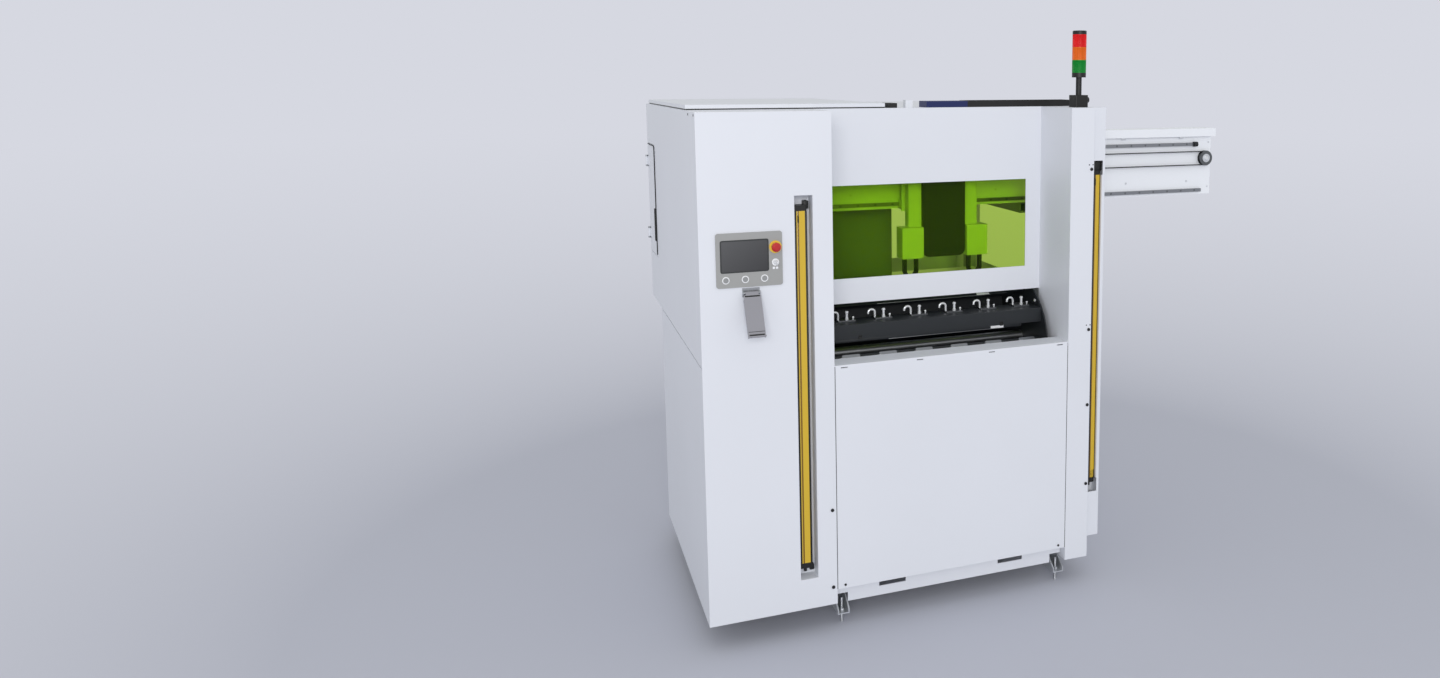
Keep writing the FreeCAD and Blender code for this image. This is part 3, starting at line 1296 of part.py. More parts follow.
def gripper(letter, span):
    """A gripper column with its head, and two fingers under it."""
    column_back = carriage_faces()[0] - GUIDE_DEPTH - SLIDE_GAP
    column_y = (column_back - COLUMN_BAR_DEPTH, column_back)
    column_z = (HEAD_Z + GRIPPER_HEAD, Z_TOP - COLUMN_TOP_DROP)
    keep(f"gripper_{letter}", block(span, column_y, column_z))
    outward = -1 if letter == "a" else 1
    inner = span[1] if letter == "a" else span[0]
    head_x = tuple(sorted((inner, inner + outward * HEAD_WIDTH)))
    head_y = (column_back - HEAD_DEPTH, column_back)
    head = block(head_x, head_y, (HEAD_Z, HEAD_Z + GRIPPER_HEAD))
    edges = edges_along(head, 2, [(a, head_y[0]) for a in head_x])
    keep(f"gripper_{letter}", head.makeFillet(EDGE_RADIUS, edges))
    middle = (head_x[0] + head_x[1]) / 2
    finger_y = column_back - (HEAD_DEPTH + FINGER_DEPTH) / 2
    for number, side in ((1, -1), (2, 1)):
        keep(f"finger_{letter}{number}", finger(middle, finger_y, side))


def finger(middle, y, side):
    """A claw that points to the middle of its gripper head."""
    top = HEAD_Z - SLIDE_GAP
    tip = HEAD_Z - FINGER_LENGTH
    near = middle + side * FINGER_SPREAD
    far = near + side * FINGER_WIDTH
    claw = near - side * CLAW_REACH
    outline = [
        (near, top),
        (far, top),
        (far, tip + CLAW_HEIGHT),
        (near + side * FINGER_WIDTH / 3, tip),
        (claw, tip),
        (claw, tip + CLAW_HEIGHT / 4),
        (near, tip + CLAW_HEIGHT),
    ]
    points = [vec(x, y, z) for x, z in outline]
    return Part.Face(Part.makePolygon(points + points[:1])).extrude(vec(0, FINGER_DEPTH, 0))


def signal_tower():
    """Clamp, pole, base and cap in black, with three lenses between."""
    x = X_RIGHT - TOWER_INSET
    y = at_depth(TOWER_DEPTH)
    half = CLAMP_WIDTH / 2
    clamp = block((x - half, x + half), (y - half, y + half), (Z_TOP, Z_TOP + CLAMP_HEIGHT))
    corners = [(x + a, y + b) for a in (-half, half) for b in (-half, half)]
    clamp = clamp.makeFillet(CLAMP_CORNER, edges_along(clamp, 2, corners))
    knob_z = Z_TOP + CLAMP_HEIGHT - CLAMP_KNOB_DROP
    knob = rod(x + half, y, knob_z, CLAMP_KNOB_RADIUS, CLAMP_KNOB_LENGTH, (1, 0, 0))
    keep("tower_body", join(clamp, knob))
    pole_z = Z_TOP + CLAMP_HEIGHT
    base_z = pole_z + POLE_LENGTH
    pole = rod(x, y, pole_z, POLE_RADIUS, POLE_LENGTH, (0, 0, 1))
    base = rod(x, y, base_z, TOWER_RADIUS, TOWER_BASE, (0, 0, 1))
    keep("tower_body", join(pole, base))
    z = base_z + TOWER_BASE
    for name in ("lens_green", "lens_orange", "lens_red"):
        keep(name, rod(x, y, z, TOWER_RADIUS, LENS_HEIGHT, (0, 0, 1)))
        z += LENS_HEIGHT
    cap = rod(x, y, z, TOWER_RADIUS, TOWER_CAP, (0, 0, 1))
    top_edge = [edge for edge in cap.Edges if edge.BoundBox.ZMin > z + TOWER_CAP - 0.01]
    keep("tower_body", cap.makeFillet(CAP_EDGE, top_edge))


def roof_pieces():
    """Black cable tray, the blue unit beside it and a small dark box."""
    y = (Y_RECESS + SHEET + ROOF_GAP, Y_RECESS + SHEET + ROOF_GAP + TRAY_DUCT_DEPTH)
    x = (TRAY_DUCT_LEFT, TRAY_DUCT_LEFT + TRAY_DUCT_LENGTH)
    duct = block(x, y, (Z_TOP, Z_TOP + TRAY_DUCT_HEIGHT))
    wall = TRAY_DUCT_WALL
    hollow_z = (Z_TOP + wall, Z_TOP + TRAY_DUCT_HEIGHT)
    hollow = block((x[0] + wall, x[1] - wall), (y[0] + wall, y[1] - wall), hollow_z)
    keep("roof_tray", cut(duct, hollow))
    box_x = x[0] - BLUE_LENGTH - DARK_BOX_GAP
    keep("roof_tray", block((box_x - DARK_BOX, box_x), y, (Z_TOP, Z_TOP + DARK_BOX_HEIGHT)))
    blue = block((x[0] - BLUE_LENGTH, x[0]), y, (Z_TOP, Z_TOP + BLUE_HEIGHT))
    tops = [(a, Z_TOP + BLUE_HEIGHT) for a in y]
    keep("blue_unit", blue.makeFillet(BLUE_EDGE, edges_along(blue, 0, tops)))


def roof_lid():
    """Raised lid over the left rear of the roof, on a dark seal."""
    x = (X_LEFT + LID_INSET, X_LEFT + LID_INSET + LID_LENGTH)
    y = (at_depth(LID_FRONT), Y_UPPER - LID_REAR_MARGIN)
    seal_x = (x[0] + LID_SEAL_INSET, x[1] - LID_SEAL_INSET)
    seal_y = (y[0] + LID_SEAL_INSET, y[1] - LID_SEAL_INSET)
    bottom = Z_TOP + LID_SEAL
    keep("roof_tray", block(seal_x, seal_y, (Z_TOP, bottom)))
    lid = block(x, y, (bottom, bottom + LID_HEIGHT))
    upright = edges_along(lid, 2, [(a, b) for a in x for b in y])
    keep("roof_panel", lid.makeFillet(EDGE_RADIUS, upright))


def inner_housing():
    """Sheet housing over the cutting station, open below, with a port in its right side."""
    x, y, z = housing_spans()
    shell = block(x, y, z)
    hollow = block((x[0] + SHEET, x[1] - SHEET), (y[0] + SHEET, y[1] - SHEET), (z[0], z[1] - SHEET))
    port_z = (z[0] + HOUSING_PORT_BOTTOM, z[0] + HOUSING_PORT_BOTTOM + HOUSING_PORT_HEIGHT)
    port_y = (y[0] + HOUSING_PORT_BOTTOM, y[0] + HOUSING_PORT_BOTTOM + HOUSING_PORT_WIDTH)
    keep("inner_housing", cut(shell, hollow, block((x[1] - SHEET, x[1]), port_y, port_z)))


def housing_spans():
    left = X_OPEN_LEFT + HOUSING_LEFT
    y = (at_depth(HOUSING_FRONT), at_depth(HOUSING_FRONT + HOUSING_DEPTH))
    return (left, left + HOUSING_WIDTH), y, (Z_BED, at_height(HOUSING_TOP))


def cutting_bed():
    """Bed plate, a slotted vice and the spindle motor's pedestal."""
    x, y, z = housing_spans()
    axis_x = x[0] + SPINDLE_FROM_LEFT
    axis_z = Z_BED + SPINDLE_HEIGHT
    bed_x = (POST_B + TUBE - BED_OVERLAP, POST_C + BED_OVERLAP)
    bed = block(bed_x, (at_depth(BED_FRONT), REAR_ROW[0]), (BED_HEIGHT, Z_BED))
    vice_y = (y[0] + VICE_START, y[0] + VICE_START + VICE_LENGTH)
    vice_top = axis_z - CUTTER_RADIUS - VICE_BELOW_SPINDLE
    vice = block((axis_x - VICE_WIDTH / 2, axis_x + VICE_WIDTH / 2), vice_y, (Z_BED, vice_top))
    slot_x = (axis_x - VICE_SLOT / 2, axis_x + VICE_SLOT / 2)
    slot = block(slot_x, vice_y, (vice_top - VICE_SLOT_DEPTH, vice_top))
    motor_y = y[0] + SPINDLE_MOTOR_START
    half = PEDESTAL_WIDTH / 2
    pedestal_y = (motor_y, motor_y + SPINDLE_MOTOR_LENGTH)
    pedestal = block((axis_x - half, axis_x + half), pedestal_y, (Z_BED, axis_z))
    radius = SPINDLE_MOTOR_RADIUS + CRADLE_GAP
    cradle = rod(axis_x, motor_y, axis_z, radius, SPINDLE_MOTOR_LENGTH, (0, 1, 0))
    keep("cutting_bed", bed, cut(vice, slot), cut(pedestal, cradle))


def cutter():
    """Spindle with its cutter wheel, and the motor that it runs in."""
    x, y, z = housing_spans()
    axis_x = x[0] + SPINDLE_FROM_LEFT
    axis_z = Z_BED + SPINDLE_HEIGHT
    through = (0, 1, 0)
    spindle_y = y[0] + SPINDLE_START
    spindle = rod(axis_x, spindle_y, axis_z, SPINDLE_RADIUS, SPINDLE_LENGTH, through)
    wheel = rod(axis_x, spindle_y, axis_z, CUTTER_RADIUS, CUTTER_THICKNESS, through)
    keep("cutter_spindle", join(spindle, wheel))
    motor_y = y[0] + SPINDLE_MOTOR_START
    body = rod(axis_x, motor_y, axis_z, SPINDLE_MOTOR_RADIUS, SPINDLE_MOTOR_LENGTH, through)
    depth = spindle_y + SPINDLE_LENGTH - motor_y + BORE_END_GAP
    bore = rod(axis_x, motor_y, axis_z, SPINDLE_RADIUS + SHAFT_CLEARANCE, depth, through)
    keep("drive_motors", cut(body, bore))


feet()
machine_frame()
plinth()
left_front_panel()
left_walls()
side_door()
door_hinges()
right_column()
right_wing()
right_walls()
rear_walls()
roof_panel()
window_parts()
ledge()
lower_cover()
panel_screws()
operator_plate()
emergency_stop()
key_switch()
push_buttons()
holder_hinge()
holder_flap()
light_curtain()
drum_ends()
drum_trays()
fixtures()
drum_bearings()
gearmotor()
gantry_beam()
beam_cover()
guide_rails()
drive_belt()
gantry_drive()
carriage()
carriage_cover()
for letter, span in column_spans().items():
    gripper(letter, span)
signal_tower()
roof_pieces()
roof_lid()
inner_housing()
cutting_bed()
cutter()

os.makedirs("parts", exist_ok=True)
for name, solids in NODES.items():
    for solid in solids:
        if not solid.isValid() or solid.Volume <= 0:
            print("check", name, solid.isValid(), round(solid.Volume, 1))
    shape = solids[0] if len(solids) == 1 else Part.makeCompound(solids)
    shape.exportStep(f"parts/{name}.step")
print(len(NODES), "nodes,", sum(len(solids) for solids in NODES.values()), "solids")
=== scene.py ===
# %% [markdown]
# # A key production cell, dressed in Blender
# The construction comes as a fixed frame: sheet panels, carousel, gantry, grippers and controls at their
# real size. This lesson gives every part its finish, adds the small pieces that a close look would catch,
# and sets the light and the camera. Nothing of the frame is moved or reshaped.

# %% Load the frame
import json
import math

import bmesh
import bpy
from mathutils import Matrix, Vector


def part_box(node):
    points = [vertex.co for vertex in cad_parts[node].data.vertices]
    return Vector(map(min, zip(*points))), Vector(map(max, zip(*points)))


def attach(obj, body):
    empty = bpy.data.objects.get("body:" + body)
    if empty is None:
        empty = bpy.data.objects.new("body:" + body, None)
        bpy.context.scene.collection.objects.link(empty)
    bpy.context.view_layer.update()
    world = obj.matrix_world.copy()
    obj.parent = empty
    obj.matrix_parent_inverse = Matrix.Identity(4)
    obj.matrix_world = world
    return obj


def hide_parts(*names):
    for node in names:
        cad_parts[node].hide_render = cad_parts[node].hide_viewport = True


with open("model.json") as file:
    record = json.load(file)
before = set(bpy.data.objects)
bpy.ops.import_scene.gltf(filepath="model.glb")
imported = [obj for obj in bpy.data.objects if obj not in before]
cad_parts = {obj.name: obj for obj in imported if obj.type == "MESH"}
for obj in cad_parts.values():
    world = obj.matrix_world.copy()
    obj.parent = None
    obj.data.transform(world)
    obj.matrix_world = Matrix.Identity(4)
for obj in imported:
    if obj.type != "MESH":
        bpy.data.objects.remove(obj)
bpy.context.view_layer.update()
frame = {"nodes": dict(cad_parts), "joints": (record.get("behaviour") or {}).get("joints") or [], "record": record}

nodes = frame["nodes"]

# %% [markdown]
# ## Colours
# A screen gives a tone as numbers from 0 to 255, while a shader counts light. Each tone could be
# converted by hand, but one function does it for all of them. A second one gives a lighter or darker
# neighbour, because no real surface has the same tone all over.


# %% Tones for the shader
def tone(red, green, blue):
    """A colour as a screen shows it, from 0 to 255, as the linear numbers that a shader takes."""
    def linear(value):
        share = value / 255
        return share / 12.92 if share <= 0.04045 else ((share + 0.055) / 1.055) ** 2.4
    return (linear(red), linear(green), linear(blue), 1.0)


def shaded(colour, share):
    """The same colour, lighter or darker."""
    return tuple(min(1.0, part * share) for part in colour[:3]) + (1.0,)


print("a screen's middle grey is", round(tone(128, 128, 128)[0], 3), "of full light")

# %% [markdown]
# ## Shader maths as Python
# A finish is a small web of shader nodes. Wired one by one it takes many lines, so a thin class wraps a
# socket, and plus, minus and times on it add the Math nodes. A formula for the gloss then reads as a
# formula.


# %% A socket that can be added and multiplied
class Wire:
    """A socket of a finish. Arithmetic on it adds Math nodes."""

    def __init__(self, finish, socket):
        self.finish = finish
        self.socket = socket

    def work(self, operation, first, second):
        return self.finish.node("ShaderNodeMath", {"operation": operation}, {0: first, 1: second})

    def __add__(self, other):
        return self.work("ADD", self, other)

    def __radd__(self, other):
        return self.work("ADD", other, self)

    def __sub__(self, other):
        return self.work("SUBTRACT", self, other)

    def __rsub__(self, other):
        return self.work("SUBTRACT", other, self)

    def __mul__(self, other):
        return self.work("MULTIPLY", self, other)

    def __rmul__(self, other):
        return self.work("MULTIPLY", other, self)


print("a wire can be added to, taken from and multiplied")

# %% [markdown]
# A second class holds a finish in the making. One method adds any node, and short ones name the few
# patterns that this machine needs. All of them read Object coordinates, which need no unwrapping and move
# with the part.

# %% A finish: its nodes, its patterns and its shader
RIDGES_AT_ONE = 3.18  # ridges in a metre of Blender's band wave at a scale of one


class Finish:
    """A material in the making."""

    def __init__(self, name):
        self.material = bpy.data.materials.new(name)
        self.material.use_nodes = True
        self.tree = self.material.node_tree
        self.shader = self.tree.nodes["Principled BSDF"]
        self.place = self.node("ShaderNodeTexCoord", out="Object")

    def node(self, kind, settings=None, inputs=None, out=0):
        """Any node: its settings first, then values or links for its sockets."""
        made = self.tree.nodes.new(kind)
        for name, value in (settings or {}).items():
            setattr(made, name, value)
        for name, value in (inputs or {}).items():
            self.feed(made.inputs[name], value)
        return Wire(self, made.outputs[out])

    def feed(self, socket, value):
        """A link or a plain value for one socket."""
        if isinstance(value, Wire):
            self.tree.links.new(value.socket, socket)
        else:
            socket.default_value = value

    def stretched(self, scale):
        """Object coordinates, stretched by a scale on each axis."""
        return self.node("ShaderNodeMapping", None, {"Vector": self.place, "Scale": scale})

    def coordinate(self, axis):
        """One of the Object coordinates."""
        return self.node("ShaderNodeSeparateXYZ", None, {0: self.place}, axis)

    def noise(self, scale, detail=2.0, place=None):
        inputs = {"Vector": place or self.place, "Scale": scale, "Detail": detail}
        return self.node("ShaderNodeTexNoise", None, inputs, "Fac")

    def ridges(self, pitch, axis):
        """Straight ridges at a pitch along an axis, such as threads or belt teeth."""
        settings = {"wave_type": "BANDS", "bands_direction": axis}
        inputs = {"Vector": self.place, "Scale": 1 / pitch / RIDGES_AT_ONE}
        return self.node("ShaderNodeTexWave", settings, inputs, "Fac")

    def blend(self, share, first, second):
        """A colour between two colours."""
        return self.node("ShaderNodeMix", {"data_type": "RGBA"}, {0: share, 6: first, 7: second}, 2)

    def mottle(self, share, colour, dark, light):
        """A colour that wanders between a darker and a lighter shade of itself."""
        return self.blend(share, shaded(colour, dark), shaded(colour, light))

    def bump(self, height, strength, depth):
        inputs = {"Height": height, "Strength": strength, "Distance": depth}
        return self.node("ShaderNodeBump", None, inputs)

    def shade(self, **inputs):
        """Feeds the shader. Underscores stand for the spaces in its socket names."""
        for name, value in inputs.items():
            self.feed(self.shader.inputs[name.replace("_", " ")], value)
        return self.material

    def give_way(self, share, other):
        """Shows another shader in place of the finish's own one, by a share."""
        own = Wire(self, self.shader.outputs[0])
        both = self.node("ShaderNodeMixShader", None, {0: share, 1: own, 2: other})
        self.feed(self.tree.nodes["Material Output"].inputs["Surface"], both)
        return self.material


print("patterns of a finish: noise, ridges, mottle and bump")

# %% [markdown]
# ## Painted sheet metal
# The cabinet is folded sheet with a baked powder coat. Up close such paint has a fine orange peel, and
# its tone drifts a little over a large panel. A flat colour would look like paper, so two noises at very
# different scales do the work: one a metre wide for the tone, one of about two millimetres for the peel,
# which also breaks up the gloss.

# %% Powder coats
NOISE_MIDDLE = 0.5
PEEL_SCALE = 450.0
PEEL_DEPTH = 0.00035
PEEL_GLOSS = 0.12
CLOUD_SCALE = 1.4
CLOUD_SHARE = 0.035


def powder_coat(name, colour, roughness=0.42, peel=0.25):
    """Baked paint whose tone drifts like a faint cloud."""
    finish = Finish(name)
    cloud = finish.noise(CLOUD_SCALE, detail=3.0)
    grain = finish.noise(PEEL_SCALE)
    return finish.shade(
        Base_Color=finish.mottle(cloud, colour, dark=1 - CLOUD_SHARE, light=1 + CLOUD_SHARE),
        Roughness=(grain - NOISE_MIDDLE) * PEEL_GLOSS + roughness,
        Normal=finish.bump(grain, peel, PEEL_DEPTH),
    )


panel_white = powder_coat("white_powder_coat", tone(226, 228, 234))
plate_grey = powder_coat("operator_plate_grey", tone(160, 160, 158), roughness=0.38)
holder_grey = powder_coat("holder_grey", tone(146, 145, 151), roughness=0.4)
housing_grey = powder_coat("inner_housing_grey", tone(126, 128, 130), roughness=0.5)
beam_white = powder_coat("beam_white", tone(240, 242, 246), roughness=0.4)
slate = powder_coat("carousel_slate", tone(29, 33, 37), roughness=0.5)
frame_grey = powder_coat("frame_paint", tone(150, 153, 158), roughness=0.5)
cover_dark = powder_coat("dark_cover_paint", tone(44, 46, 46), roughness=0.4)
unit_blue = powder_coat("blue_unit_paint", tone(9, 28, 86), roughness=0.4)
bar_yellow = powder_coat("curtain_yellow", tone(214, 178, 48), roughness=0.36, peel=0.1)
print("powder coats:", panel_white.name, plate_grey.name, slate.name, bar_yellow.name)

# %% [markdown]
# ## Bare metal
# Drawn steel and satin aluminium carry fine scratches along the way they were drawn. They could come from
# a picture, but a noise that is squeezed on two axes and long on the third gives such scratches at any
# size. The plated rods have hardly any, only faint smears.

# %% Drawn and plated metals
SCRATCH_FINE = 900.0
SCRATCH_LONG = 14.0
SCRATCH_DEPTH = 0.00012
SCRATCH_SHARE = 0.7
SMEAR_SCALE = 9.0
METAL_GLOSS = 0.25
METAL_SHINE = 0.12


def brushed_metal(name, colour, run, roughness, depth=0.25, bare=1.0):
    """Metal with scratches that run along one axis. Plating that is less bare mirrors less."""
    finish = Finish(name)
    scale = [SCRATCH_FINE] * 3
    scale["XYZ".index(run)] = SCRATCH_LONG
    scratch = finish.noise(1.0, detail=3.0, place=finish.stretched(scale))
    smear = finish.noise(SMEAR_SCALE, detail=3.0)
    mixed = scratch * SCRATCH_SHARE + smear * (1 - SCRATCH_SHARE)
    return finish.shade(
        Base_Color=finish.mottle(mixed, colour, dark=0.82, light=1.12),
        Metallic=bare,
        Roughness=mixed * METAL_GLOSS + (roughness - METAL_SHINE),
        Normal=finish.bump(scratch, depth, SCRATCH_DEPTH),
    )


steel_x = brushed_metal("drawn_steel", tone(150, 152, 156), "X", roughness=0.38)
steel_z = brushed_metal("milled_steel", tone(168, 170, 173), "Z", roughness=0.36)
fixture_steel = brushed_metal("ground_fixture_steel", tone(150, 152, 155), "X", roughness=0.34, depth=0.12)
pulley_grey = brushed_metal("turned_pulley_grey", tone(112, 114, 116), "X", roughness=0.4, depth=0.2)
aluminium_x = brushed_metal("satin_aluminium", tone(226, 228, 231), "X", roughness=0.5, depth=0.15)
plated = {"roughness": 0.26, "depth": 0.04, "bare": 0.55}
chrome = brushed_metal("plated_fixture_rods", tone(238, 239, 240), "Z", **plated)
print("metals:", steel_x.name, aluminium_x.name, chrome.name)

# %% [markdown]
# The levelling studs under the feet have a thread. A modelled helix would cost thousands of faces for a
# short stud near the floor, so level ridges in the bump stand for it.

# %% Threaded steel
THREAD_PITCH = 0.00175
THREAD_SMEAR_SCALE = 60.0
THREAD_GLOSS = 0.2
THREAD_ROUGHNESS = 0.25


def threaded_steel(name, colour, pitch):
    """Turned steel with a thread's ridges up the Z axis."""
    finish = Finish(name)
    smear = finish.noise(THREAD_SMEAR_SCALE, detail=3.0)
    return finish.shade(
        Base_Color=finish.mottle(smear, colour, dark=0.8, light=1.1),
        Metallic=1.0,
        Roughness=smear * THREAD_GLOSS + THREAD_ROUGHNESS,
        Normal=finish.bump(finish.ridges(pitch, "Z"), strength=0.5, depth=pitch / 2),
    )


stud_steel = threaded_steel("threaded_steel", tone(196, 198, 202), THREAD_PITCH)
print("threads:", stud_steel.name, "at a pitch of", THREAD_PITCH)

# %% [markdown]
# ## Plastics and rubber
# Moulded plastic has a fine even grain from the mould and a soft sheen, and buttons have a clear lacquer
# on top. The grain is far too small to model, so a very fine noise in the bump gives it, and a slow one
# lets the sheen wander as on a part that hands have touched.

# %% Plastics
GRAIN_SCALE = 1600.0
GRAIN_DEPTH = 0.0002
TOUCH_SCALE = 25.0
MOULD_GLOSS = 0.12


def moulded(name, colour, roughness=0.4, grain=0.3, coat=0.0):
    """Moulded plastic, with or without a clear coat."""
    finish = Finish(name)
    fine = finish.noise(GRAIN_SCALE)
    touch = finish.noise(TOUCH_SCALE, detail=3.0)
    return finish.shade(
        Base_Color=finish.mottle(touch, colour, dark=0.9, light=1.1),
        Roughness=touch * MOULD_GLOSS + (roughness - MOULD_GLOSS / 2),
        Normal=finish.bump(fine, grain, GRAIN_DEPTH),
        Coat_Weight=coat,
    )


black_plastic = moulded("black_plastic", tone(15, 15, 14), roughness=0.46)
black_oxide = moulded("blackened_screw_steel", tone(30, 30, 32), roughness=0.34, grain=0.15)
stop_red = moulded("stop_button_red", tone(186, 14, 14), roughness=0.22, grain=0.05, coat=0.6)
ring_yellow = moulded("stop_ring_yellow", tone(236, 196, 62), roughness=0.35, grain=0.1)
button_white = moulded("button_white", tone(236, 237, 238), roughness=0.25, grain=0.05, coat=0.4)
button_grey = moulded("button_cap_grey", tone(146, 147, 147), roughness=0.3, grain=0.05, coat=0.3)
tag_white = moulded("bare_tag_white", tone(240, 241, 243), roughness=0.45, grain=0.05)
print("plastics:", black_plastic.name, stop_red.name, button_white.name)

# %% [markdown]
# The gantry's belt is rubber with teeth on its inner side. Its teeth could be modelled one by one, but
# seen edge-on they are only a row of ridges, so straight bands in the bump are enough, under a film of
# dust.

# %% Belt rubber
TOOTH_PITCH = 0.008
DUST_SCALE = 40.0
RUBBER_GLOSS = 0.2
RUBBER_ROUGHNESS = 0.55


def toothed_rubber(name, colour, pitch):
    """Dusty rubber with teeth along the X axis."""
    finish = Finish(name)
    dust = finish.noise(DUST_SCALE, detail=4.0)
    return finish.shade(
        Base_Color=finish.mottle(dust, colour, dark=0.7, light=1.5),
        Roughness=dust * RUBBER_GLOSS + RUBBER_ROUGHNESS,
        Normal=finish.bump(finish.ridges(pitch, "X"), strength=0.4, depth=pitch / 4),
    )


belt_rubber = toothed_rubber("toothed_rubber", tone(24, 25, 27), TOOTH_PITCH)
print("rubber:", belt_rubber.name, "with a tooth every", TOOTH_PITCH)

# %% [markdown]
# ## Screen
# The touch screen is dark glass with a painted reflection: it is a little lighter towards its upper left
# corner. A lamp's reflection could give that, but only from one side, so the reflection is painted into
# the glass as a slow change of tone.

# %% Screen glass
SCREEN_PAINTED_REFLECTION = tone(84, 84, 85)
SCREEN_DARK = tone(50, 50, 51)
SCREEN_SMUDGE_SCALE = 18.0
SCREEN_GLOSS = 0.12
SCREEN_ROUGHNESS = 0.16
SCREEN_COAT = 0.3


def dark_screen(name, low, high):
    """Blank display glass with a painted reflection: lighter at the upper left corner, darker towards the lower
    right one.
    """
    finish = Finish(name)
    across = (finish.coordinate("X") - low.x) * (0.5 / (high.x - low.x))
    down = (high.z - finish.coordinate("Z")) * (0.5 / (high.z - low.z))
    smudge = finish.noise(SCREEN_SMUDGE_SCALE, detail=4.0)
    return finish.shade(
        # painted reflection: the colour runs from the reflection's light at the upper left to the glass's own dark
        # at the lower right
        Base_Color=finish.blend(across + down, SCREEN_PAINTED_REFLECTION, SCREEN_DARK),
        Roughness=smudge * SCREEN_GLOSS + SCREEN_ROUGHNESS,
        Coat_Weight=SCREEN_COAT,
    )


screen_glass = dark_screen("blank_screen_glass", *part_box("touch_screen"))
print("screen:", screen_glass.name)

# %% [markdown]
# ## Window
# The window is lime tinted safety glass. A plain glass shader would keep the lamp's light out of the bay,
# because its shadow is solid, so shadow rays meet a tinted Transparent shader instead. The pane is thin,
# and a low index of refraction keeps what is seen through it in its place.

# %% Window glass
WINDOW_TINT = (0.52, 0.73, 0.11, 1.0)
WINDOW_BEND = 1.15
WINDOW_SMUDGE_SCALE = 3.0
WINDOW_GLOSS = 0.02


def tinted_window(name, tint):
    """Tinted glass that lets the lamps shine through."""
    finish = Finish(name)
    smudge = finish.noise(WINDOW_SMUDGE_SCALE, detail=4.0)
    finish.shade(Base_Color=tint, Roughness=smudge * WINDOW_GLOSS)
    finish.shade(Transmission_Weight=1.0, IOR=WINDOW_BEND)
    lamps = finish.node("ShaderNodeLightPath", out="Is Shadow Ray")
    clear = finish.node("ShaderNodeBsdfTransparent", None, {"Color": tint})
    return finish.give_way(lamps, clear)


window_glass = tinted_window("lime_safety_glass", WINDOW_TINT)
print("window:", window_glass.name)

# %% [markdown]
# ## Signal lenses
# The lenses of the signal tower are coloured plastic over a lamp. They glow a little even when they are
# off, because light that enters comes out elsewhere. Real scattering is slow to render and noisy on so
# small a part, so a weak emission in the lens's own colour stands for it, with upright streaks.

# %% Lens plastic
LENS_STREAKS = (160.0, 160.0, 6.0)
LENS_PAINTED_GLOW = 0.14
LENS_SHINE = 0.25
LENS_GLOSS = 0.1
LENS_ROUGHNESS = 0.3


def signal_lens(name, colour):
    """Streaky lens plastic with a weak painted glow for the light that it scatters."""
    finish = Finish(name)
    streak = finish.noise(1.0, place=finish.stretched(LENS_STREAKS))
    plastic = finish.mottle(streak, colour, dark=0.55, light=1.05)
    return finish.shade(
        Base_Color=plastic,
        # painted light: the lens glows in its own colour though no lamp is lit in it
        Emission_Color=plastic,
        Emission_Strength=LENS_PAINTED_GLOW,
        Specular_IOR_Level=LENS_SHINE,
        Roughness=streak * LENS_GLOSS + LENS_ROUGHNESS,
    )


lens_finish = {
    "lens_red": signal_lens("red_lens", tone(228, 26, 30)),
    "lens_orange": signal_lens("orange_lens", tone(233, 112, 26)),
    "lens_green": signal_lens("green_lens", tone(6, 140, 48)),
}
print("lenses:", *lens_finish)

# %% [markdown]
# ## Dress the frame
# Each node of the frame has a material slot in its record. The slot says what the part is made of, so the
# finish is picked from that. Naming a finish for all of the parts would be a long list, so only those
# that differ from their neighbours are named one by one.

# %% Give every node its finish
SLOT_FINISH = {
    "panel_white": panel_white, "frame_grey": frame_grey, "slate": slate, "steel": steel_z,
    "chrome": chrome, "aluminium": aluminium_x, "black_plastic": black_plastic, "bar_yellow": bar_yellow,
    "plate_grey": plate_grey, "screen": screen_glass, "window_green": window_glass, "stop_red": stop_red,
    "ring_yellow": ring_yellow, "button_white": button_white, "belt_rubber": belt_rubber,
    "unit_blue": unit_blue, "cover_dark": cover_dark, **lens_finish,
}
NODE_FINISH = {
    "guide_rails": steel_x, "levelling_studs": stud_steel, "panel_screws": black_oxide,
    "fixture_plates": fixture_steel, "idler_pulley": pulley_grey, "drive_pulley": pulley_grey,
    "cutting_bed": aluminium_x, "gantry_beam": beam_white, "beam_cover": beam_white,
    "inner_housing": housing_grey, "holder_flap": holder_grey, "control_rings": button_white,
    "carriage": panel_white, "gripper_a": panel_white, "gripper_b": panel_white,
    **{f"push_button_{number}": button_grey for number in (1, 2, 3)},
    **{f"finger_{place}": cover_dark for place in ("a1", "a2", "b1", "b2")},
}


def dress(piece, material):
    """Gives a piece one finish all over."""
    piece.data.materials.clear()
    piece.data.materials.append(material)


slot_of = {part["node"]: part["material_slot"] for part in frame["record"]["subparts"]}
for name, part in nodes.items():
    dress(part, NODE_FINISH.get(name) or SLOT_FINISH[slot_of[name]])
print("dressed", len(nodes), "nodes,", len(NODE_FINISH), "of them one by one")

# %% [markdown]
# ## Modelling by operators
# The small pieces below are shaped as they would be by hand: a primitive is added at its size and place,
# and edit mode or a modifier gives it its corners, hollows and soft edges. An operator acts on all that
# is selected, so everything is deselected first. Every finished piece sits at the origin with its place
# in its mesh, so it can ride on a body of the frame without any fitting.


# %% A clean start, and a name for what was made
def fresh():
    """Object mode, with nothing selected."""
    if bpy.context.mode != "OBJECT":
        bpy.ops.object.mode_set(mode="OBJECT")
    bpy.ops.object.select_all(action="DESELECT")


def hold(piece):
    """Makes a piece the only one that operators act on."""
    fresh()
    piece.select_set(True)
    bpy.context.view_layer.objects.active = piece


def settle(name):
    """Names the new piece and puts its place into its mesh."""
    bpy.ops.object.transform_apply(location=True, rotation=True, scale=True)
    piece = bpy.context.object
    piece.name = name
    piece.data.name = name
    return piece


fresh()
print("selected:", len(bpy.context.selected_objects), "objects in", bpy.context.mode.lower(), "mode")

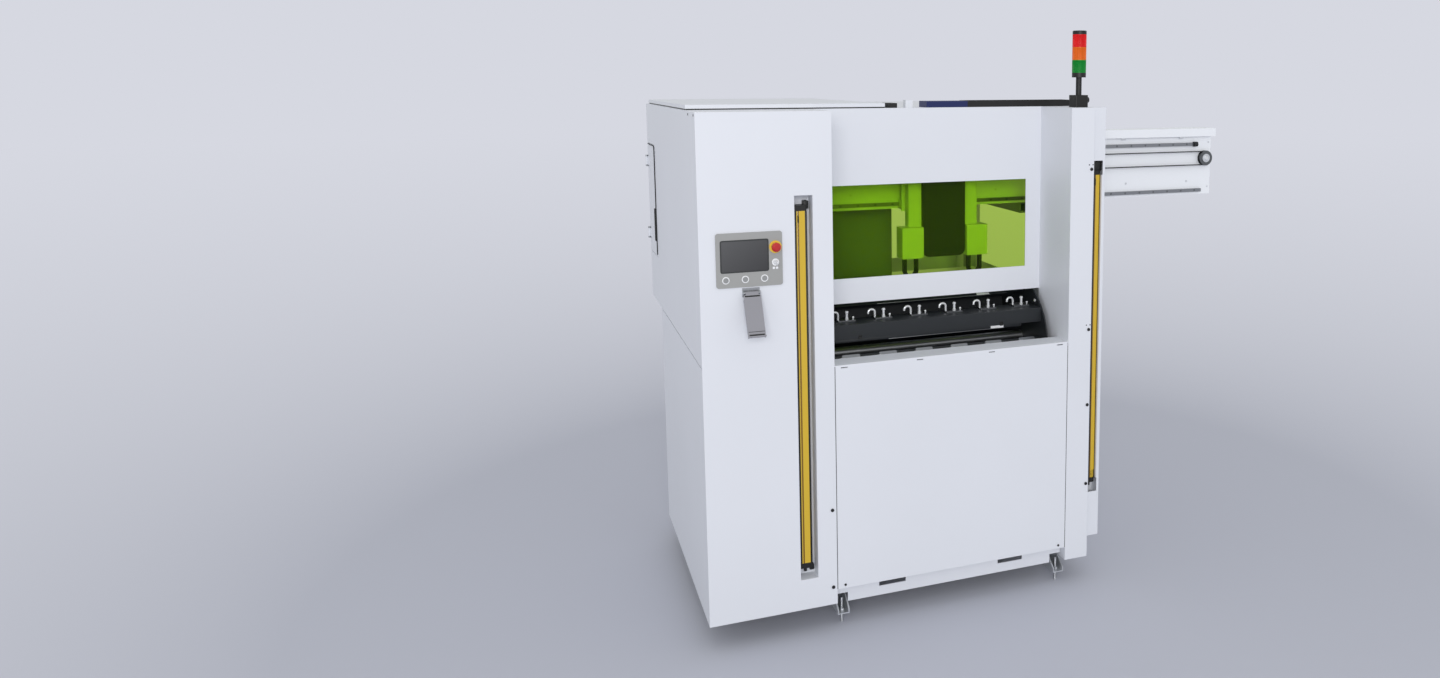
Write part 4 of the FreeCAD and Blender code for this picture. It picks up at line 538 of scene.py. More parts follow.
# %% [markdown]
# ## Screws
# Black cap screws hold the sheets. The frame has them as plain heads with a shank, while a real head has
# a broken edge and a hexagon socket. One head is turned from a cylinder, a bevel breaks its edge, and a
# six-sided cylinder is carved out of it. An inset and an extrusion could sink a round socket in the round
# head, while a Boolean gives the hexagon. The three tools for that come first.

# %% Round bars, broken edges and carved hollows
TURN_TO = {"X": (0.0, math.pi / 2, 0.0), "Y": (math.pi / 2, 0.0, 0.0), "Z": (0.0, 0.0, 0.0)}
SHARP_ANGLE = math.radians(40)
SMOOTH_ANGLE = math.radians(35)
EDGE_SEGMENTS = 2


def round_bar(name, middle, radius, length, axis, sides):
    """A cylinder about a point, along an axis."""
    fresh()
    bpy.ops.mesh.primitive_cylinder_add(
        vertices=sides, radius=radius, depth=length, location=middle, rotation=TURN_TO[axis]
    )
    return settle(name)


def soften(piece, width):
    """Breaks every sharp edge, and smooths what is left between."""
    hold(piece)
    edge = piece.modifiers.new("broken_edges", "BEVEL")
    edge.width = width
    edge.segments = EDGE_SEGMENTS
    edge.limit_method = "ANGLE"
    edge.angle_limit = SHARP_ANGLE
    bpy.ops.object.modifier_apply(modifier=edge.name)
    bpy.ops.object.shade_smooth_by_angle(angle=SMOOTH_ANGLE)


def carve(piece, cutter):
    """Cuts one shape out of another, and drops the cutter."""
    hold(piece)
    carved = piece.modifiers.new("carved", "BOOLEAN")
    carved.object = cutter
    bpy.ops.object.modifier_apply(modifier=carved.name)
    bpy.data.objects.remove(cutter)


print("round bars can lie along", *TURN_TO)

# %% [markdown]
# The head is made at the origin, facing the front, so that a move alone takes it to any place. Larger or
# smaller, the same head also serves on the beam, the rails and the carousel's discs.

# %% One cap screw
HEAD_RADIUS = 0.005
HEAD_TALL = 0.0025
HEAD_EDGE = 0.0005
HEAD_SIDES = 32
HEXAGON_RADIUS = 0.0027
HEXAGON_DEEP = 0.0014


def cap_screw():
    """A cap screw's head that sits on y = 0 and faces the front."""
    head = round_bar("cap_screw", (0, -HEAD_TALL / 2, 0), HEAD_RADIUS, HEAD_TALL, "Y", HEAD_SIDES)
    soften(head, HEAD_EDGE)
    carve(head, round_bar("hexagon", (0, -HEAD_TALL, 0), HEXAGON_RADIUS, 2 * HEXAGON_DEEP, "Y", 6))
    return head


print("cap screw:", 2 * HEAD_RADIUS, "m across with a socket", HEXAGON_DEEP, "m deep")

# %% [markdown]
# A screw has to sit where the frame has it. The places could be typed in again, but then a change of the
# frame would leave the heads behind. The mesh of a node holds several loose solids, so they are told
# apart by the corners that their faces share, and each gives its own box.


# %% Where the frame's solids are
def solids_of(name):
    """Lowest and highest corners of each separate solid of a node."""
    mesh = nodes[name].data
    spots = [tuple(round(part, 5) for part in corner.co) for corner in mesh.vertices]
    leader = {spot: spot for spot in spots}

    def lead(spot):
        while leader[spot] != spot:
            leader[spot] = leader[leader[spot]]
            spot = leader[spot]
        return spot

    for face in mesh.polygons:
        first, *others = [spots[i] for i in face.vertices]
        for other in others:
            leader[lead(other)] = lead(first)
    groups = {}
    for spot in leader:
        groups.setdefault(lead(spot), []).append(spot)
    boxes = []
    for group in groups.values():
        boxes.append((Vector(map(min, zip(*group))), Vector(map(max, zip(*group)))))
    return sorted(boxes, key=lambda corners: tuple(corners[0]))


def middle_of(low, high):
    """The middle of a box."""
    return (low + high) / 2


print("the frame has", len(solids_of("panel_screws")), "panel screws")

# %% [markdown]
# A finished piece that repeats is copied to its places. Copies that share a mesh would be lighter, but
# here each one gets a mesh of its own, and all are joined into one piece. Then the piece gets its finish
# and the body of the frame that it rides on.


# %% Copies, and their ride on the frame
def at(place, size=1.0):
    """A move to a place, and to a size."""
    return Matrix.Translation(place) @ Matrix.Scale(size, 4)


def spread(piece, name, moves):
    """Copies of a piece, one per move, joined under a name. The first one goes."""
    fresh()
    for move in moves:
        twin = piece.copy()
        twin.data = piece.data.copy()
        twin.data.transform(move)
        bpy.context.scene.collection.objects.link(twin)
        twin.select_set(True)
        bpy.context.view_layer.objects.active = twin
    bpy.ops.object.join()
    whole = bpy.context.object
    whole.name = name
    whole.data.name = name
    bpy.data.objects.remove(piece)
    return whole


def mount(piece, material, body):
    """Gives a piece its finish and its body."""
    dress(piece, material)
    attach(piece, body)
    print(piece.name, "rides on", body, "with", len(piece.data.polygons), "faces")


# %% [markdown]
# On the front, the new heads take the place of the frame's plain ones. The screws beside the lower cover
# are larger than its own, so the size of each copy follows from where it sits.

# %% Panel screws
COLUMN_SCREW_SIZE = 1.4

cover_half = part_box("lower_cover")[1].x
screw_places = []
for low, high in solids_of("panel_screws"):
    middle = middle_of(low, high)
    size = COLUMN_SCREW_SIZE if abs(middle.x) > cover_half else 1.0
    screw_places.append(at((middle.x, low.y + HEAD_TALL, middle.z), size))
panel_heads = spread(cap_screw(), "panel_screw_heads", screw_places)
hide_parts("panel_screws")
mount(panel_heads, black_oxide, "cabinet")

# %% [markdown]
# The hidden sides are plain sheets on the same tubes, so they get the same screws, at an even pitch along
# their edges. Their count is a guess that follows the front's spacing, and it is worked out from each
# sheet's length, so that the last screw always keeps its distance from the corner.

# %% Screws of the rear and right sheets
EDGE_INSET = 0.025
EDGE_PITCH = 0.45
REAR_TURN = Matrix.Rotation(math.pi, 4, "Z")
RIGHT_TURN = Matrix.Rotation(math.pi / 2, 4, "Z")


def edge_row(start, end):
    """Places from one inset edge to the other, at about the edge pitch."""
    run = end - start - 2 * EDGE_INSET
    steps = max(1, round(run / EDGE_PITCH))
    return [start + EDGE_INSET + run * i / steps for i in range(steps + 1)]


sheet_screws = []
for low, high in solids_of("rear_walls"):
    for x in edge_row(low.x, high.x):
        for z in (low.z + EDGE_INSET, high.z - EDGE_INSET):
            sheet_screws.append(Matrix.Translation((x, high.y, z)) @ REAR_TURN)
for low, high in solids_of("right_walls"):
    for y in edge_row(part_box("right_column")[1].y, high.y):
        for z in (low.z + EDGE_INSET, high.z - EDGE_INSET):
            sheet_screws.append(Matrix.Translation((high.x, y, z)) @ RIGHT_TURN)
mount(spread(cap_screw(), "sheet_screws", sheet_screws), black_oxide, "cabinet")

# %% [markdown]
# ## Plugged holes
# Sheets often have holes that are not used, and small black plugs close them. A dark disc would do from
# afar, but a real plug stands proud of the sheet and has a raised button. For that, the front face of a
# short cylinder is inset and pushed out. By hand the face would be clicked. In code it is picked by where
# it looks.

# %% Picking faces
STRAIGHT_ON = 0.99  # how far a normal must reach along the way that its face looks


def pick(piece, kind, test):
    """Edit mode on a piece, with only the faces or edges selected that pass a test."""
    hold(piece)
    bpy.ops.object.mode_set(mode="EDIT")
    bpy.ops.mesh.select_mode(type=kind)
    bpy.ops.mesh.select_all(action="DESELECT")
    shape = bmesh.from_edit_mesh(piece.data)
    for part in shape.faces if kind == "FACE" else shape.edges:
        if test(part):
            part.select_set(True)
    bmesh.update_edit_mesh(piece.data)


def faces_front(face):
    """A test for faces that look to the front, along minus Y."""
    return -face.normal.y > STRAIGHT_ON


def push_in(piece, test, margin, move):
    """Insets the picked faces by a margin and pushes what is inside by a move."""
    pick(piece, "FACE", test)
    bpy.ops.mesh.inset(thickness=margin)
    bpy.ops.mesh.extrude_region_move(TRANSFORM_OT_translate={"value": move})
    fresh()


print("faces can be picked by a test and pushed in or out")

# %% [markdown]
# The plugs of the left wall sit along its upper edge, and those of the right column near its outer edge.
# One plug is made facing the front, and the copies on the wall are turned to the left.

# %% Plugged holes in the sheets
HOLE_PLUG_RADIUS = 0.0045
HOLE_PLUG_TALL = 0.0012
HOLE_PLUG_RIM = 0.001
HOLE_PLUG_RISE = 0.0004
HOLE_PLUG_EDGE = 0.0003
HOLE_PLUG_SIDES = 24
COLUMN_PLUG_SIZE = 0.6
COLUMN_PLUG_INSETS = (0.006, 0.024)
COLUMN_PLUG_HEIGHTS = (1.16, 1.858)
WALL_PLUG_SETBACKS = (0.022, 0.15)
WALL_PLUG_DROP = 0.012
LEFT_TURN = Matrix.Rotation(-math.pi / 2, 4, "Z")


def hole_plug():
    """A plastic plug on y = 0 that faces the front."""
    middle = (0, -HOLE_PLUG_TALL / 2, 0)
    plug = round_bar("hole_plug", middle, HOLE_PLUG_RADIUS, HOLE_PLUG_TALL, "Y", HOLE_PLUG_SIDES)
    push_in(plug, faces_front, HOLE_PLUG_RIM, (0, -HOLE_PLUG_RISE, 0))
    soften(plug, HOLE_PLUG_EDGE)
    return plug


wall_low, wall_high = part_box("left_walls")
column_low, column_high = solids_of("right_column")[0]
plug_places = []
for setback in WALL_PLUG_SETBACKS:
    spot = (wall_low.x, wall_low.y + setback, wall_high.z - WALL_PLUG_DROP)
    plug_places.append(Matrix.Translation(spot) @ LEFT_TURN)
for inset in COLUMN_PLUG_INSETS:
    for height in COLUMN_PLUG_HEIGHTS:
        plug_places.append(at((column_high.x - inset, column_low.y, height), COLUMN_PLUG_SIZE))
mount(spread(hole_plug(), "hole_plugs", plug_places), black_plastic, "cabinet")

# %% [markdown]
# ## Gaskets
# A dark gasket fills the gap on each side of the lower cover. A dark line on the sheet would be flat,
# while a gasket lies a little behind the cover's face and leaves a shadow. Each one is a cube stretched to
# the width of the gap, with softly broken edges as rubber has.

# %% Gaskets beside the lower cover
GASKET_SINK = 0.0006
GASKET_DEEP = 0.01
GASKET_EDGE = 0.0008


def bar(name, low, high):
    """A cube stretched between two corners."""
    fresh()
    low, high = Vector(low), Vector(high)
    bpy.ops.mesh.primitive_cube_add(size=1.0, location=(low + high) / 2)
    bpy.context.object.scale = high - low
    return settle(name)


cover_low, cover_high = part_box("lower_cover")
ledge_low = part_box("ledge")[0]
gasket_front = cover_low.y + GASKET_SINK
gasket_spans = {"left": (ledge_low.x, cover_low.x), "right": (cover_high.x, -ledge_low.x)}
for side, span in gasket_spans.items():
    gasket = bar(
        f"cover_gasket_{side}",
        (min(span), gasket_front, cover_low.z), (max(span), gasket_front + GASKET_DEEP, ledge_low.z),
    )
    soften(gasket, GASKET_EDGE)
    mount(gasket, black_plastic, "cabinet")

# %% [markdown]
# ## Light curtain
# Two upright bars guard the opening with a curtain of light. Each is a yellow extrusion, and behind a narrow
# amber strip sit the beams' eyes. The black cheeks on each side are painted shade: dark bars that stand
# where the bars' sides lie in shadow. The frame has the yellow bodies. The rest could be painted on them,
# but real edges catch the light, so slim bars stand a little proud of the yellow. The eye fields have round
# corners, which are edges picked by the way they run.

# %% Round corners
STRAIGHT_ALONG = 0.999  # share of its length that an edge must run along an axis


def along(axis):
    """A test for edges that run along an axis."""
    def test(edge):
        run = edge.verts[1].co - edge.verts[0].co
        return abs(run["XYZ".index(axis)]) > STRAIGHT_ALONG * run.length
    return test


def round_corners(piece, axis, radius, segments=6):
    """Rounds the long corners that run along an axis."""
    pick(piece, "EDGE", along(axis))
    bpy.ops.mesh.bevel(offset=radius, segments=segments)
    fresh()


sender, receiver = solids_of("curtain_bars")
print("the light curtain's bars are", round(sender[1].z - sender[0].z, 3), "m high")

# %% [markdown]
# Sender and receiver are built alike, but their cheeks of painted shade differ in width, and the
# receiver's right one is a mere skin. So the widths are listed per bar, and one loop makes both.

# %% Cheeks and optical strips
CHEEK_PROUD = 0.0008
CHEEK_DEEP = 0.024
CHEEK_EDGE = 0.0009
# painted shade: the black cheeks' widths follow the dark of the bars' shaded sides
SHADE_CHEEK_WIDTHS = ((0.0075, 0.007), (0.009, 0.0))  # left and right ones of the sender and of the receiver
STRIP_LEFT = 0.3
STRIP_WIDTH = 0.006
STRIP_PROUD = 0.0004
STRIP_EDGE = 0.0003
EYE_DROP = 0.016
EYE_LENGTH = 0.03
EYE_CORNER = 0.002


def shade_cheek(name, left, right, low, high):
    """A black cheek of painted shade from left to right, as high as its bar."""
    piece = bar(name, (left, low.y - CHEEK_PROUD, low.z), (right, low.y + CHEEK_DEEP, high.z))
    soften(piece, CHEEK_EDGE)
    mount(piece, black_plastic, "cabinet")


def optical_strip(number, low, high):
    """The amber strip down the front of a bar, with its dark eye field near the top."""
    middle = low.x + STRIP_LEFT * (high.x - low.x)
    left, right = middle - STRIP_WIDTH / 2, middle + STRIP_WIDTH / 2
    front = low.y - STRIP_PROUD
    strip = bar(f"optical_strip_{number}", (left, front, low.z), (right, low.y + STRIP_WIDTH, high.z))
    soften(strip, STRIP_EDGE)
    mount(strip, strip_amber, "cabinet")
    top = high.z - EYE_DROP
    eye = bar(f"optical_eye_{number}", (left, front - STRIP_PROUD, top - EYE_LENGTH), (right, low.y, top))
    round_corners(eye, "Y", EYE_CORNER)
    mount(eye, black_plastic, "cabinet")


strip_amber = moulded("amber_strip", tone(120, 88, 12), roughness=0.2, grain=0.05, coat=0.5)
for number, (low, high) in enumerate((sender, receiver), 1):
    left_width, right_width = SHADE_CHEEK_WIDTHS[number - 1]
    shade_cheek(f"curtain_shade_cheek_left_{number}", low.x - CHEEK_PROUD, low.x + left_width, low, high)
    shade_cheek(f"curtain_shade_cheek_right_{number}", high.x - right_width, high.x + CHEEK_PROUD, low, high)
    optical_strip(number, low, high)

# %% [markdown]
# Black plastic closes the bars at both ends: cable elbows stand behind the ends of the sender, and longer
# blocks sit on those of the receiver. They could be one shape at two sizes, but they differ in depth and
# in how far they lap over the bar, so each kind has a function that gives its corners.

# %% Cable plugs
PLUG_DEEP = 0.034
PLUG_REACH = 0.016
PLUG_LAP = 0.004
PLUG_CORNER = 0.004
PLUG_EDGE = 0.001
BLOCK_REACH = 0.036
ELBOW_BACK = 0.012
ELBOW_IN = 0.008
ELBOW_OUT = 0.011
ELBOW_LAP_TOP = 0.016
ELBOW_LAP_FOOT = 0.008
FOLD_WIDTH = 0.0062


def elbow(low, high, on_top):
    """Corners of the cable elbow behind an end of the sender."""
    foot = high.z - ELBOW_LAP_TOP if on_top else low.z - PLUG_REACH
    top = high.z + PLUG_REACH if on_top else low.z + ELBOW_LAP_FOOT
    front = low.y + ELBOW_BACK
    return (high.x - ELBOW_IN, front, foot), (high.x + ELBOW_OUT, front + PLUG_DEEP, top)


def end_block(low, high, on_top):
    """Corners of the block on an end of the receiver."""
    foot = high.z - PLUG_LAP if on_top else low.z - BLOCK_REACH
    top = high.z + BLOCK_REACH if on_top else low.z + PLUG_LAP
    return (low.x, low.y, foot), (high.x + FOLD_WIDTH, low.y + PLUG_DEEP, top)


for number, (low, high) in enumerate(solids_of("curtain_caps"), 1):
    if high.x - low.x < PLUG_REACH:
        continue  # a narrow cap has no plug
    on_top = low.z > sender[0].z + PLUG_REACH
    corners = elbow(low, high, on_top) if high.x < 0 else end_block(low, high, on_top)
    plug = bar(f"cable_plug_{number}", *corners)
    round_corners(plug, "Y", PLUG_CORNER, segments=4)
    soften(plug, PLUG_EDGE)
    mount(plug, black_plastic, "cabinet")

# %% [markdown]
# A narrow fold of the column's sheet stands beside the receiver and shields its edge. It could belong to
# the column, but it is no thicker than a line from afar, so it is a slim bar of its own in the same
# white.

# %% Fold beside the receiver
FOLD_DEEP = 0.014
FOLD_EDGE = 0.0006

low, high = receiver
fold = bar(
    "receiver_fold",
    (high.x + CHEEK_PROUD / 2, low.y - FOLD_DEEP, low.z), (high.x + FOLD_WIDTH, low.y, high.z),
)
soften(fold, FOLD_EDGE)
mount(fold, panel_white, "cabinet")

# %% [markdown]
# ## Operator panel
# The screen's glass has round corners and a thin dark border. Four strips would leave seams at the
# corners, so the border is one round-cornered plate with a round-cornered window carved out of it.

# %% Screen border
BORDER_WIDTH = 0.0035
BORDER_TALL = 0.0012
BORDER_LAP = 0.0012
BORDER_CORNER = 0.008
BORDER_EDGE = 0.0003

plate_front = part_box("hmi_plate")[0].y
low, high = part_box("touch_screen")
border = bar(
    "screen_border",
    (low.x - BORDER_WIDTH, plate_front - BORDER_TALL, low.z - BORDER_WIDTH),
    (high.x + BORDER_WIDTH, plate_front, high.z + BORDER_WIDTH),
)
round_corners(border, "Y", BORDER_CORNER)
sight = bar(
    "border_sight",
    (low.x + BORDER_LAP, plate_front - 2 * BORDER_TALL, low.z + BORDER_LAP),
    (high.x - BORDER_LAP, plate_front + BORDER_TALL, high.z - BORDER_LAP),
)
round_corners(sight, "Y", BORDER_CORNER - BORDER_WIDTH)
carve(border, sight)
soften(border, BORDER_EDGE)
mount(border, cover_dark, "cabinet")

# %% [markdown]
# Two small white squares sit under the key switch. They could be drawn on the plate, but they are thin
# pieces of plastic with an edge, so each is a flat bar with round corners, placed from the key's own box.

# %% Squares under the key switch
SQUARE_HALF = 0.0044
SQUARE_TALL = 0.0008
SQUARE_CORNER = 0.0011
SQUARE_EDGE = 0.0002
SQUARE_PITCH = 0.0125
SQUARE_DROP = 0.0225

key_middle = middle_of(*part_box("key_barrel"))
for number, side in ((1, -1), (2, 1)):
    x = key_middle.x + side * SQUARE_PITCH / 2
    z = key_middle.z - SQUARE_DROP
    square = bar(
        f"bare_square_{number}",
        (x - SQUARE_HALF, plate_front - SQUARE_TALL, z - SQUARE_HALF),
        (x + SQUARE_HALF, plate_front, z + SQUARE_HALF),
    )
    round_corners(square, "Y", SQUARE_CORNER, segments=3)
    soften(square, SQUARE_EDGE)
    mount(square, tag_white, "cabinet")

# %% [markdown]
# The holder for the hand-held device has dark slots across its flap, which hangs at a slant. Slots could
# be cut into the flap, but the frame's meshes stay as they are, so each slot is a thin dark bar with
# round ends. It is made upright under the hinge and then turned about the hinge, as the flap itself is.

# %% Slots of the hand-held device's holder
HOLDER_TILT = math.radians(-28.0)
HOLDER_FACE = 0.006
SLOT_PROUD = 0.0004
SLOT_ROUND = 2.2
# Each slot's drop below the hinge, its height and half its length
SLOT_LINES = ((0.015, 0.0055, 0.029), (0.154, 0.002, 0.031), (0.1665, 0.0055, 0.029))


def joint_place(name):
    """A point on a joint's axis."""
    return Vector(next(joint for joint in frame["joints"] if joint["name"] == name)["pos_m"])


hinge = joint_place("holder_swing")
tilt = Matrix.Translation(hinge) @ Matrix.Rotation(HOLDER_TILT, 4, "X") @ Matrix.Translation(-hinge)
holder_low, holder_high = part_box("holder_flap")
holder_x = (holder_low.x + holder_high.x) / 2
front = hinge.y - HOLDER_FACE - SLOT_PROUD
for number, (drop, tall, half) in enumerate(SLOT_LINES, 1):
    slot_z = hinge.z - drop
    slot = bar(
        f"holder_slot_{number}",
        (holder_x - half, front, slot_z - tall / 2),
        (holder_x + half, front + 2 * SLOT_PROUD, slot_z + tall / 2),
    )
    round_corners(slot, "Y", tall / SLOT_ROUND, segments=4)
    slot.data.transform(tilt)
    mount(slot, black_plastic, "holder_flap")

# %% [markdown]
# ## Side door
# A rubber lip runs along the side door's front and top edges. Seen at a grazing angle from the front it
# is the dark line on the left wall. A bent profile could follow the door's edge, but an outer shape with
# an inner one carved out of it gives the same lip with evenly round corners.

# %% Door lip
LIP_TALL = 0.005
LIP_WIDTH = 0.003
LIP_CORNER = 0.019
LIP_EDGE = 0.001
LIP_SEGMENTS = 8
LIP_REAR_GAP = 0.03

wall_x = wall_low.x
door_low, door_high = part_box("side_door")


def front_corner(edge):
    """A test for the two front corners of the lip."""
    return along("X")(edge) and edge.verts[0].co.y < door_low.y + LIP_WIDTH


lip = bar(
    "door_lip",
    (wall_x - LIP_TALL, door_low.y, door_low.z), (wall_x, door_high.y - LIP_REAR_GAP, door_high.z),
)
pick(lip, "EDGE", front_corner)
bpy.ops.mesh.bevel(offset=LIP_CORNER, segments=LIP_SEGMENTS)
fresh()
inside = bar(
    "lip_inside",
    (wall_x - 2 * LIP_TALL, door_low.y + LIP_WIDTH, door_low.z - LIP_CORNER),
    (wall_x + LIP_TALL, door_high.y, door_high.z - LIP_WIDTH),
)
round_corners(inside, "X", LIP_CORNER - LIP_WIDTH, LIP_SEGMENTS)
carve(lip, inside)
soften(lip, LIP_EDGE)
mount(lip, belt_rubber, "side_door")

# %% [markdown]
# A black rim frames the slot that a hand grips to open the door. It is made as the lip is, with one
# round-cornered shape carved out of a larger one, so that the rim has the same width all round.

# %% Grip rim
GRIP_LOW = Vector((0.0, 0.043, 0.073))
GRIP_HIGH = Vector((0.0, 0.063, 0.227))
RIM_WIDTH = 0.003
RIM_TALL = 0.004
RIM_CORNER = 0.009
RIM_EDGE = 0.0008

door_corner = Vector((wall_x, door_low.y, door_low.z))
grip_low = door_corner + GRIP_LOW
grip_high = door_corner + GRIP_HIGH
rim_edge = Vector((0.0, RIM_WIDTH, RIM_WIDTH))
rim_reach = Vector((RIM_TALL, 0, 0))
rim = bar("grip_rim", grip_low - rim_edge - rim_reach, grip_high + rim_edge)
round_corners(rim, "X", RIM_CORNER + RIM_WIDTH)
grip = bar("grip_slot", grip_low - 2 * rim_reach, grip_high + 2 * rim_reach)
round_corners(grip, "X", RIM_CORNER)
carve(rim, grip)
soften(rim, RIM_EDGE)
mount(rim, black_plastic, "side_door")

# %% [markdown]
# ## Carousel
# Every tray has two black clips on its apron's lower edge. They are modelled at the front tray and copied
# round the carousel's axis, because the next tray that turns up has to look like the first. Each clip is
# a bar whose front is inset and pushed in, as a pressed clip's is.

# %% Apron clips
APRON_HEIGHT = 0.062
TRAY_TOP = 0.171
TRAY_COUNT = len(solids_of("drum_trays"))
CLIP_SPOTS = (-0.353, 0.300)
CLIP_HALF = 0.008
CLIP_RISE = 0.015
CLIP_PROUD = 0.0022
CLIP_RIM = 0.003
CLIP_DISH = 0.001
CLIP_EDGE = 0.0006

drum_axis = joint_place("drum_turn")
disc_low, disc_high = solids_of("drum_discs")[0]
disc_radius = (disc_high.z - disc_low.z) / 2
apron_front = drum_axis.y - math.sqrt(disc_radius**2 - TRAY_TOP**2)
apron_low = drum_axis.z + TRAY_TOP - APRON_HEIGHT


def tray_turns():
    """Turns about the carousel's axis, one per tray."""
    turns = []
    for i in range(TRAY_COUNT):
        about = Matrix.Rotation(2 * math.pi * i / TRAY_COUNT, 4, "X")
        turns.append(Matrix.Translation(drum_axis) @ about @ Matrix.Translation(-drum_axis))
    return turns


for number, clip_x in enumerate(CLIP_SPOTS, 1):
    clip = bar(
        "apron_clip",
        (clip_x - CLIP_HALF, apron_front - CLIP_PROUD, apron_low - CLIP_PROUD),
        (clip_x + CLIP_HALF, apron_front + CLIP_PROUD, apron_low + CLIP_RISE),
    )
    push_in(clip, faces_front, CLIP_RIM, (0, CLIP_DISH, 0))
    soften(clip, CLIP_EDGE)
    mount(spread(clip, f"apron_clips_{number}", tray_turns()), black_plastic, "drum")

# %% [markdown]
# Under each apron hangs a narrow rail for labels, with a bright rolled edge and one plain white tag. A
# real rail is one bent strip. Here the strip, the rolled edge and the tag are three simple pieces,
# because they differ in finish.

# %% Label rails and tags
RAIL_X = (-0.46, 0.40)
RAIL_DROP = 0.014
RAIL_BACK = 0.006
RAIL_WALL = 0.0015
RAIL_EDGE = 0.0004
BEAD_X = (-0.225, 0.316)
BEAD_RADIUS = 0.0016
BEAD_EDGE = 0.0005
BEAD_SIDES = 12
TAG_X = (0.250, 0.312)
TAG_RISE = 0.012
TAG_CORNER = 0.001
TAG_EDGE = 0.0003

rail_y = apron_front + RAIL_BACK
rail_low = apron_low - RAIL_DROP
rail = bar("label_rail", (RAIL_X[0], rail_y, rail_low), (RAIL_X[1], rail_y + RAIL_WALL, apron_low))
soften(rail, RAIL_EDGE)
mount(spread(rail, "label_rails", tray_turns()), slate, "drum")

bead_middle = ((BEAD_X[0] + BEAD_X[1]) / 2, rail_y, rail_low)
bead = round_bar("rail_bead", bead_middle, BEAD_RADIUS, BEAD_X[1] - BEAD_X[0], "X", BEAD_SIDES)
soften(bead, BEAD_EDGE)
mount(spread(bead, "rail_beads", tray_turns()), fixture_steel, "drum")

tag_low = rail_low + BEAD_RADIUS
tag = bar("bare_tag", (TAG_X[0], rail_y - RAIL_WALL, tag_low), (TAG_X[1], rail_y, tag_low + TAG_RISE))
round_corners(tag, "Y", TAG_CORNER, segments=3)
soften(tag, TAG_EDGE)
mount(spread(tag, "bare_tags", tray_turns()), tag_white, "drum")

# %% [markdown]
# Bright cap screws hold each tray to the discs at its ends. The head is the one from the sheets, half as
# large again, laid on the inner face of each disc and copied round the axis with the trays.

# %% Disc screws
DISC_SCREW = Vector((0.0, -0.146, 0.193))
DISC_SCREW_SIZE = 1.5

inner_faces = (disc_high.x, solids_of("drum_discs")[1][0].x)
disc_screws = []
for face_x, quarter in zip(inner_faces, (math.pi / 2, -math.pi / 2)):
    spot = Vector((face_x, drum_axis.y, drum_axis.z)) + DISC_SCREW
    seat = Matrix.Translation(spot) @ Matrix.Rotation(quarter, 4, "Z") @ Matrix.Scale(DISC_SCREW_SIZE, 4)
    disc_screws.extend(turn @ seat for turn in tray_turns())
mount(spread(cap_screw(), "disc_screws", disc_screws), chrome, "drum")

# %% [markdown]
# ## Gantry beam
# The beam carries screws along its lower web and at its end, and its rails have one every few
# centimetres, sunk almost flush. Counterbores would need cuts in the frame, so the sunk heads alone show
# the pitch.

# %% Beam and rail screws
WEB_SCREW_PITCH = 0.35
WEB_SCREW_HEIGHT = 1.715
WEB_SCREW_END = 0.14
END_SCREW_INSET = 0.015
END_SCREW_DROP = 0.03
END_SCREW_SIZE = 0.8
RAIL_SCREW_PITCH = 0.08
RAIL_SCREW_SIZE = 0.85
RAIL_SCREW_SINK = 0.002

rail_boxes = solids_of("guide_rails")
beam_front = rail_boxes[0][1].y
beam_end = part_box("gantry_beam")[1].x
beam_cover_low, beam_cover_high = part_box("beam_cover")


def pitch_row(start, end, pitch):
    """Evenly spaced places from an end towards a start."""
    count = int((end - start) / pitch) + 1
    return [end - i * pitch for i in range(count)]


beam_screws = []
for x in pitch_row(beam_cover_low.x, beam_end - WEB_SCREW_END, WEB_SCREW_PITCH):
    beam_screws.append(at((x, beam_front, WEB_SCREW_HEIGHT)))
for height in (beam_cover_low.z - END_SCREW_DROP, WEB_SCREW_HEIGHT - END_SCREW_DROP):
    beam_screws.append(at((beam_end - END_SCREW_INSET, beam_front, height), END_SCREW_SIZE))
mount(spread(cap_screw(), "beam_screws", beam_screws), aluminium_x, "cabinet")

rail_screws = []
for low, high in rail_boxes:
    height = (low.z + high.z) / 2
    for x in pitch_row(low.x + RAIL_SCREW_PITCH, high.x - RAIL_SCREW_PITCH / 2, RAIL_SCREW_PITCH):
        rail_screws.append(at((x, low.y + RAIL_SCREW_SINK, height), RAIL_SCREW_SIZE))
mount(spread(cap_screw(), "rail_screws", rail_screws), black_oxide, "cabinet")

# %% [markdown]
# Small clips hold the beam's cover from below. Bent sheet would be the real way, but at this size only
# the outline shows, so one flat bar with round corners is copied along the cover's lower edge.

# %% Cover clips
COVER_CLIP = Vector((0.024, 0.004, 0.009))
COVER_CLIP_CORNER = 0.002
COVER_CLIP_EDGE = 0.0005
COVER_CLIP_PITCH = 0.33
COVER_CLIP_END = 0.2

clip = bar("cover_clip", -COVER_CLIP / 2, COVER_CLIP / 2)
round_corners(clip, "Y", COVER_CLIP_CORNER, segments=3)
soften(clip, COVER_CLIP_EDGE)
clip_y = beam_cover_low.y + COVER_CLIP.y
clip_z = beam_cover_low.z - COVER_CLIP.z / 3
clip_places = []
for x in pitch_row(beam_cover_low.x, beam_cover_high.x - COVER_CLIP_END, COVER_CLIP_PITCH):
    clip_places.append(at((x, clip_y, clip_z)))
mount(spread(clip, "cover_clips", clip_places), aluminium_x, "cabinet")

# %% [markdown]
# The idler's face has a pale hub with a dished ring and a cap screw in the middle, which make it read as
# a turning pulley. A lathe profile could be spun, but two insets into a short cylinder give the same
# steps.

# %% Idler hub
HUB_RADIUS = 0.021
HUB_TALL = 0.003
HUB_RING = 0.0045
HUB_EDGE = 0.0004
HUB_SIDES = 64
HUB_SCREW_SIZE = 1.7
DISH_LEAST_AREA = 0.0003  # only the bottom of the dish has a larger face


def dish_bottom(face):
    """A test for the bottom of the hub's dish."""
    return faces_front(face) and face.calc_area() > DISH_LEAST_AREA


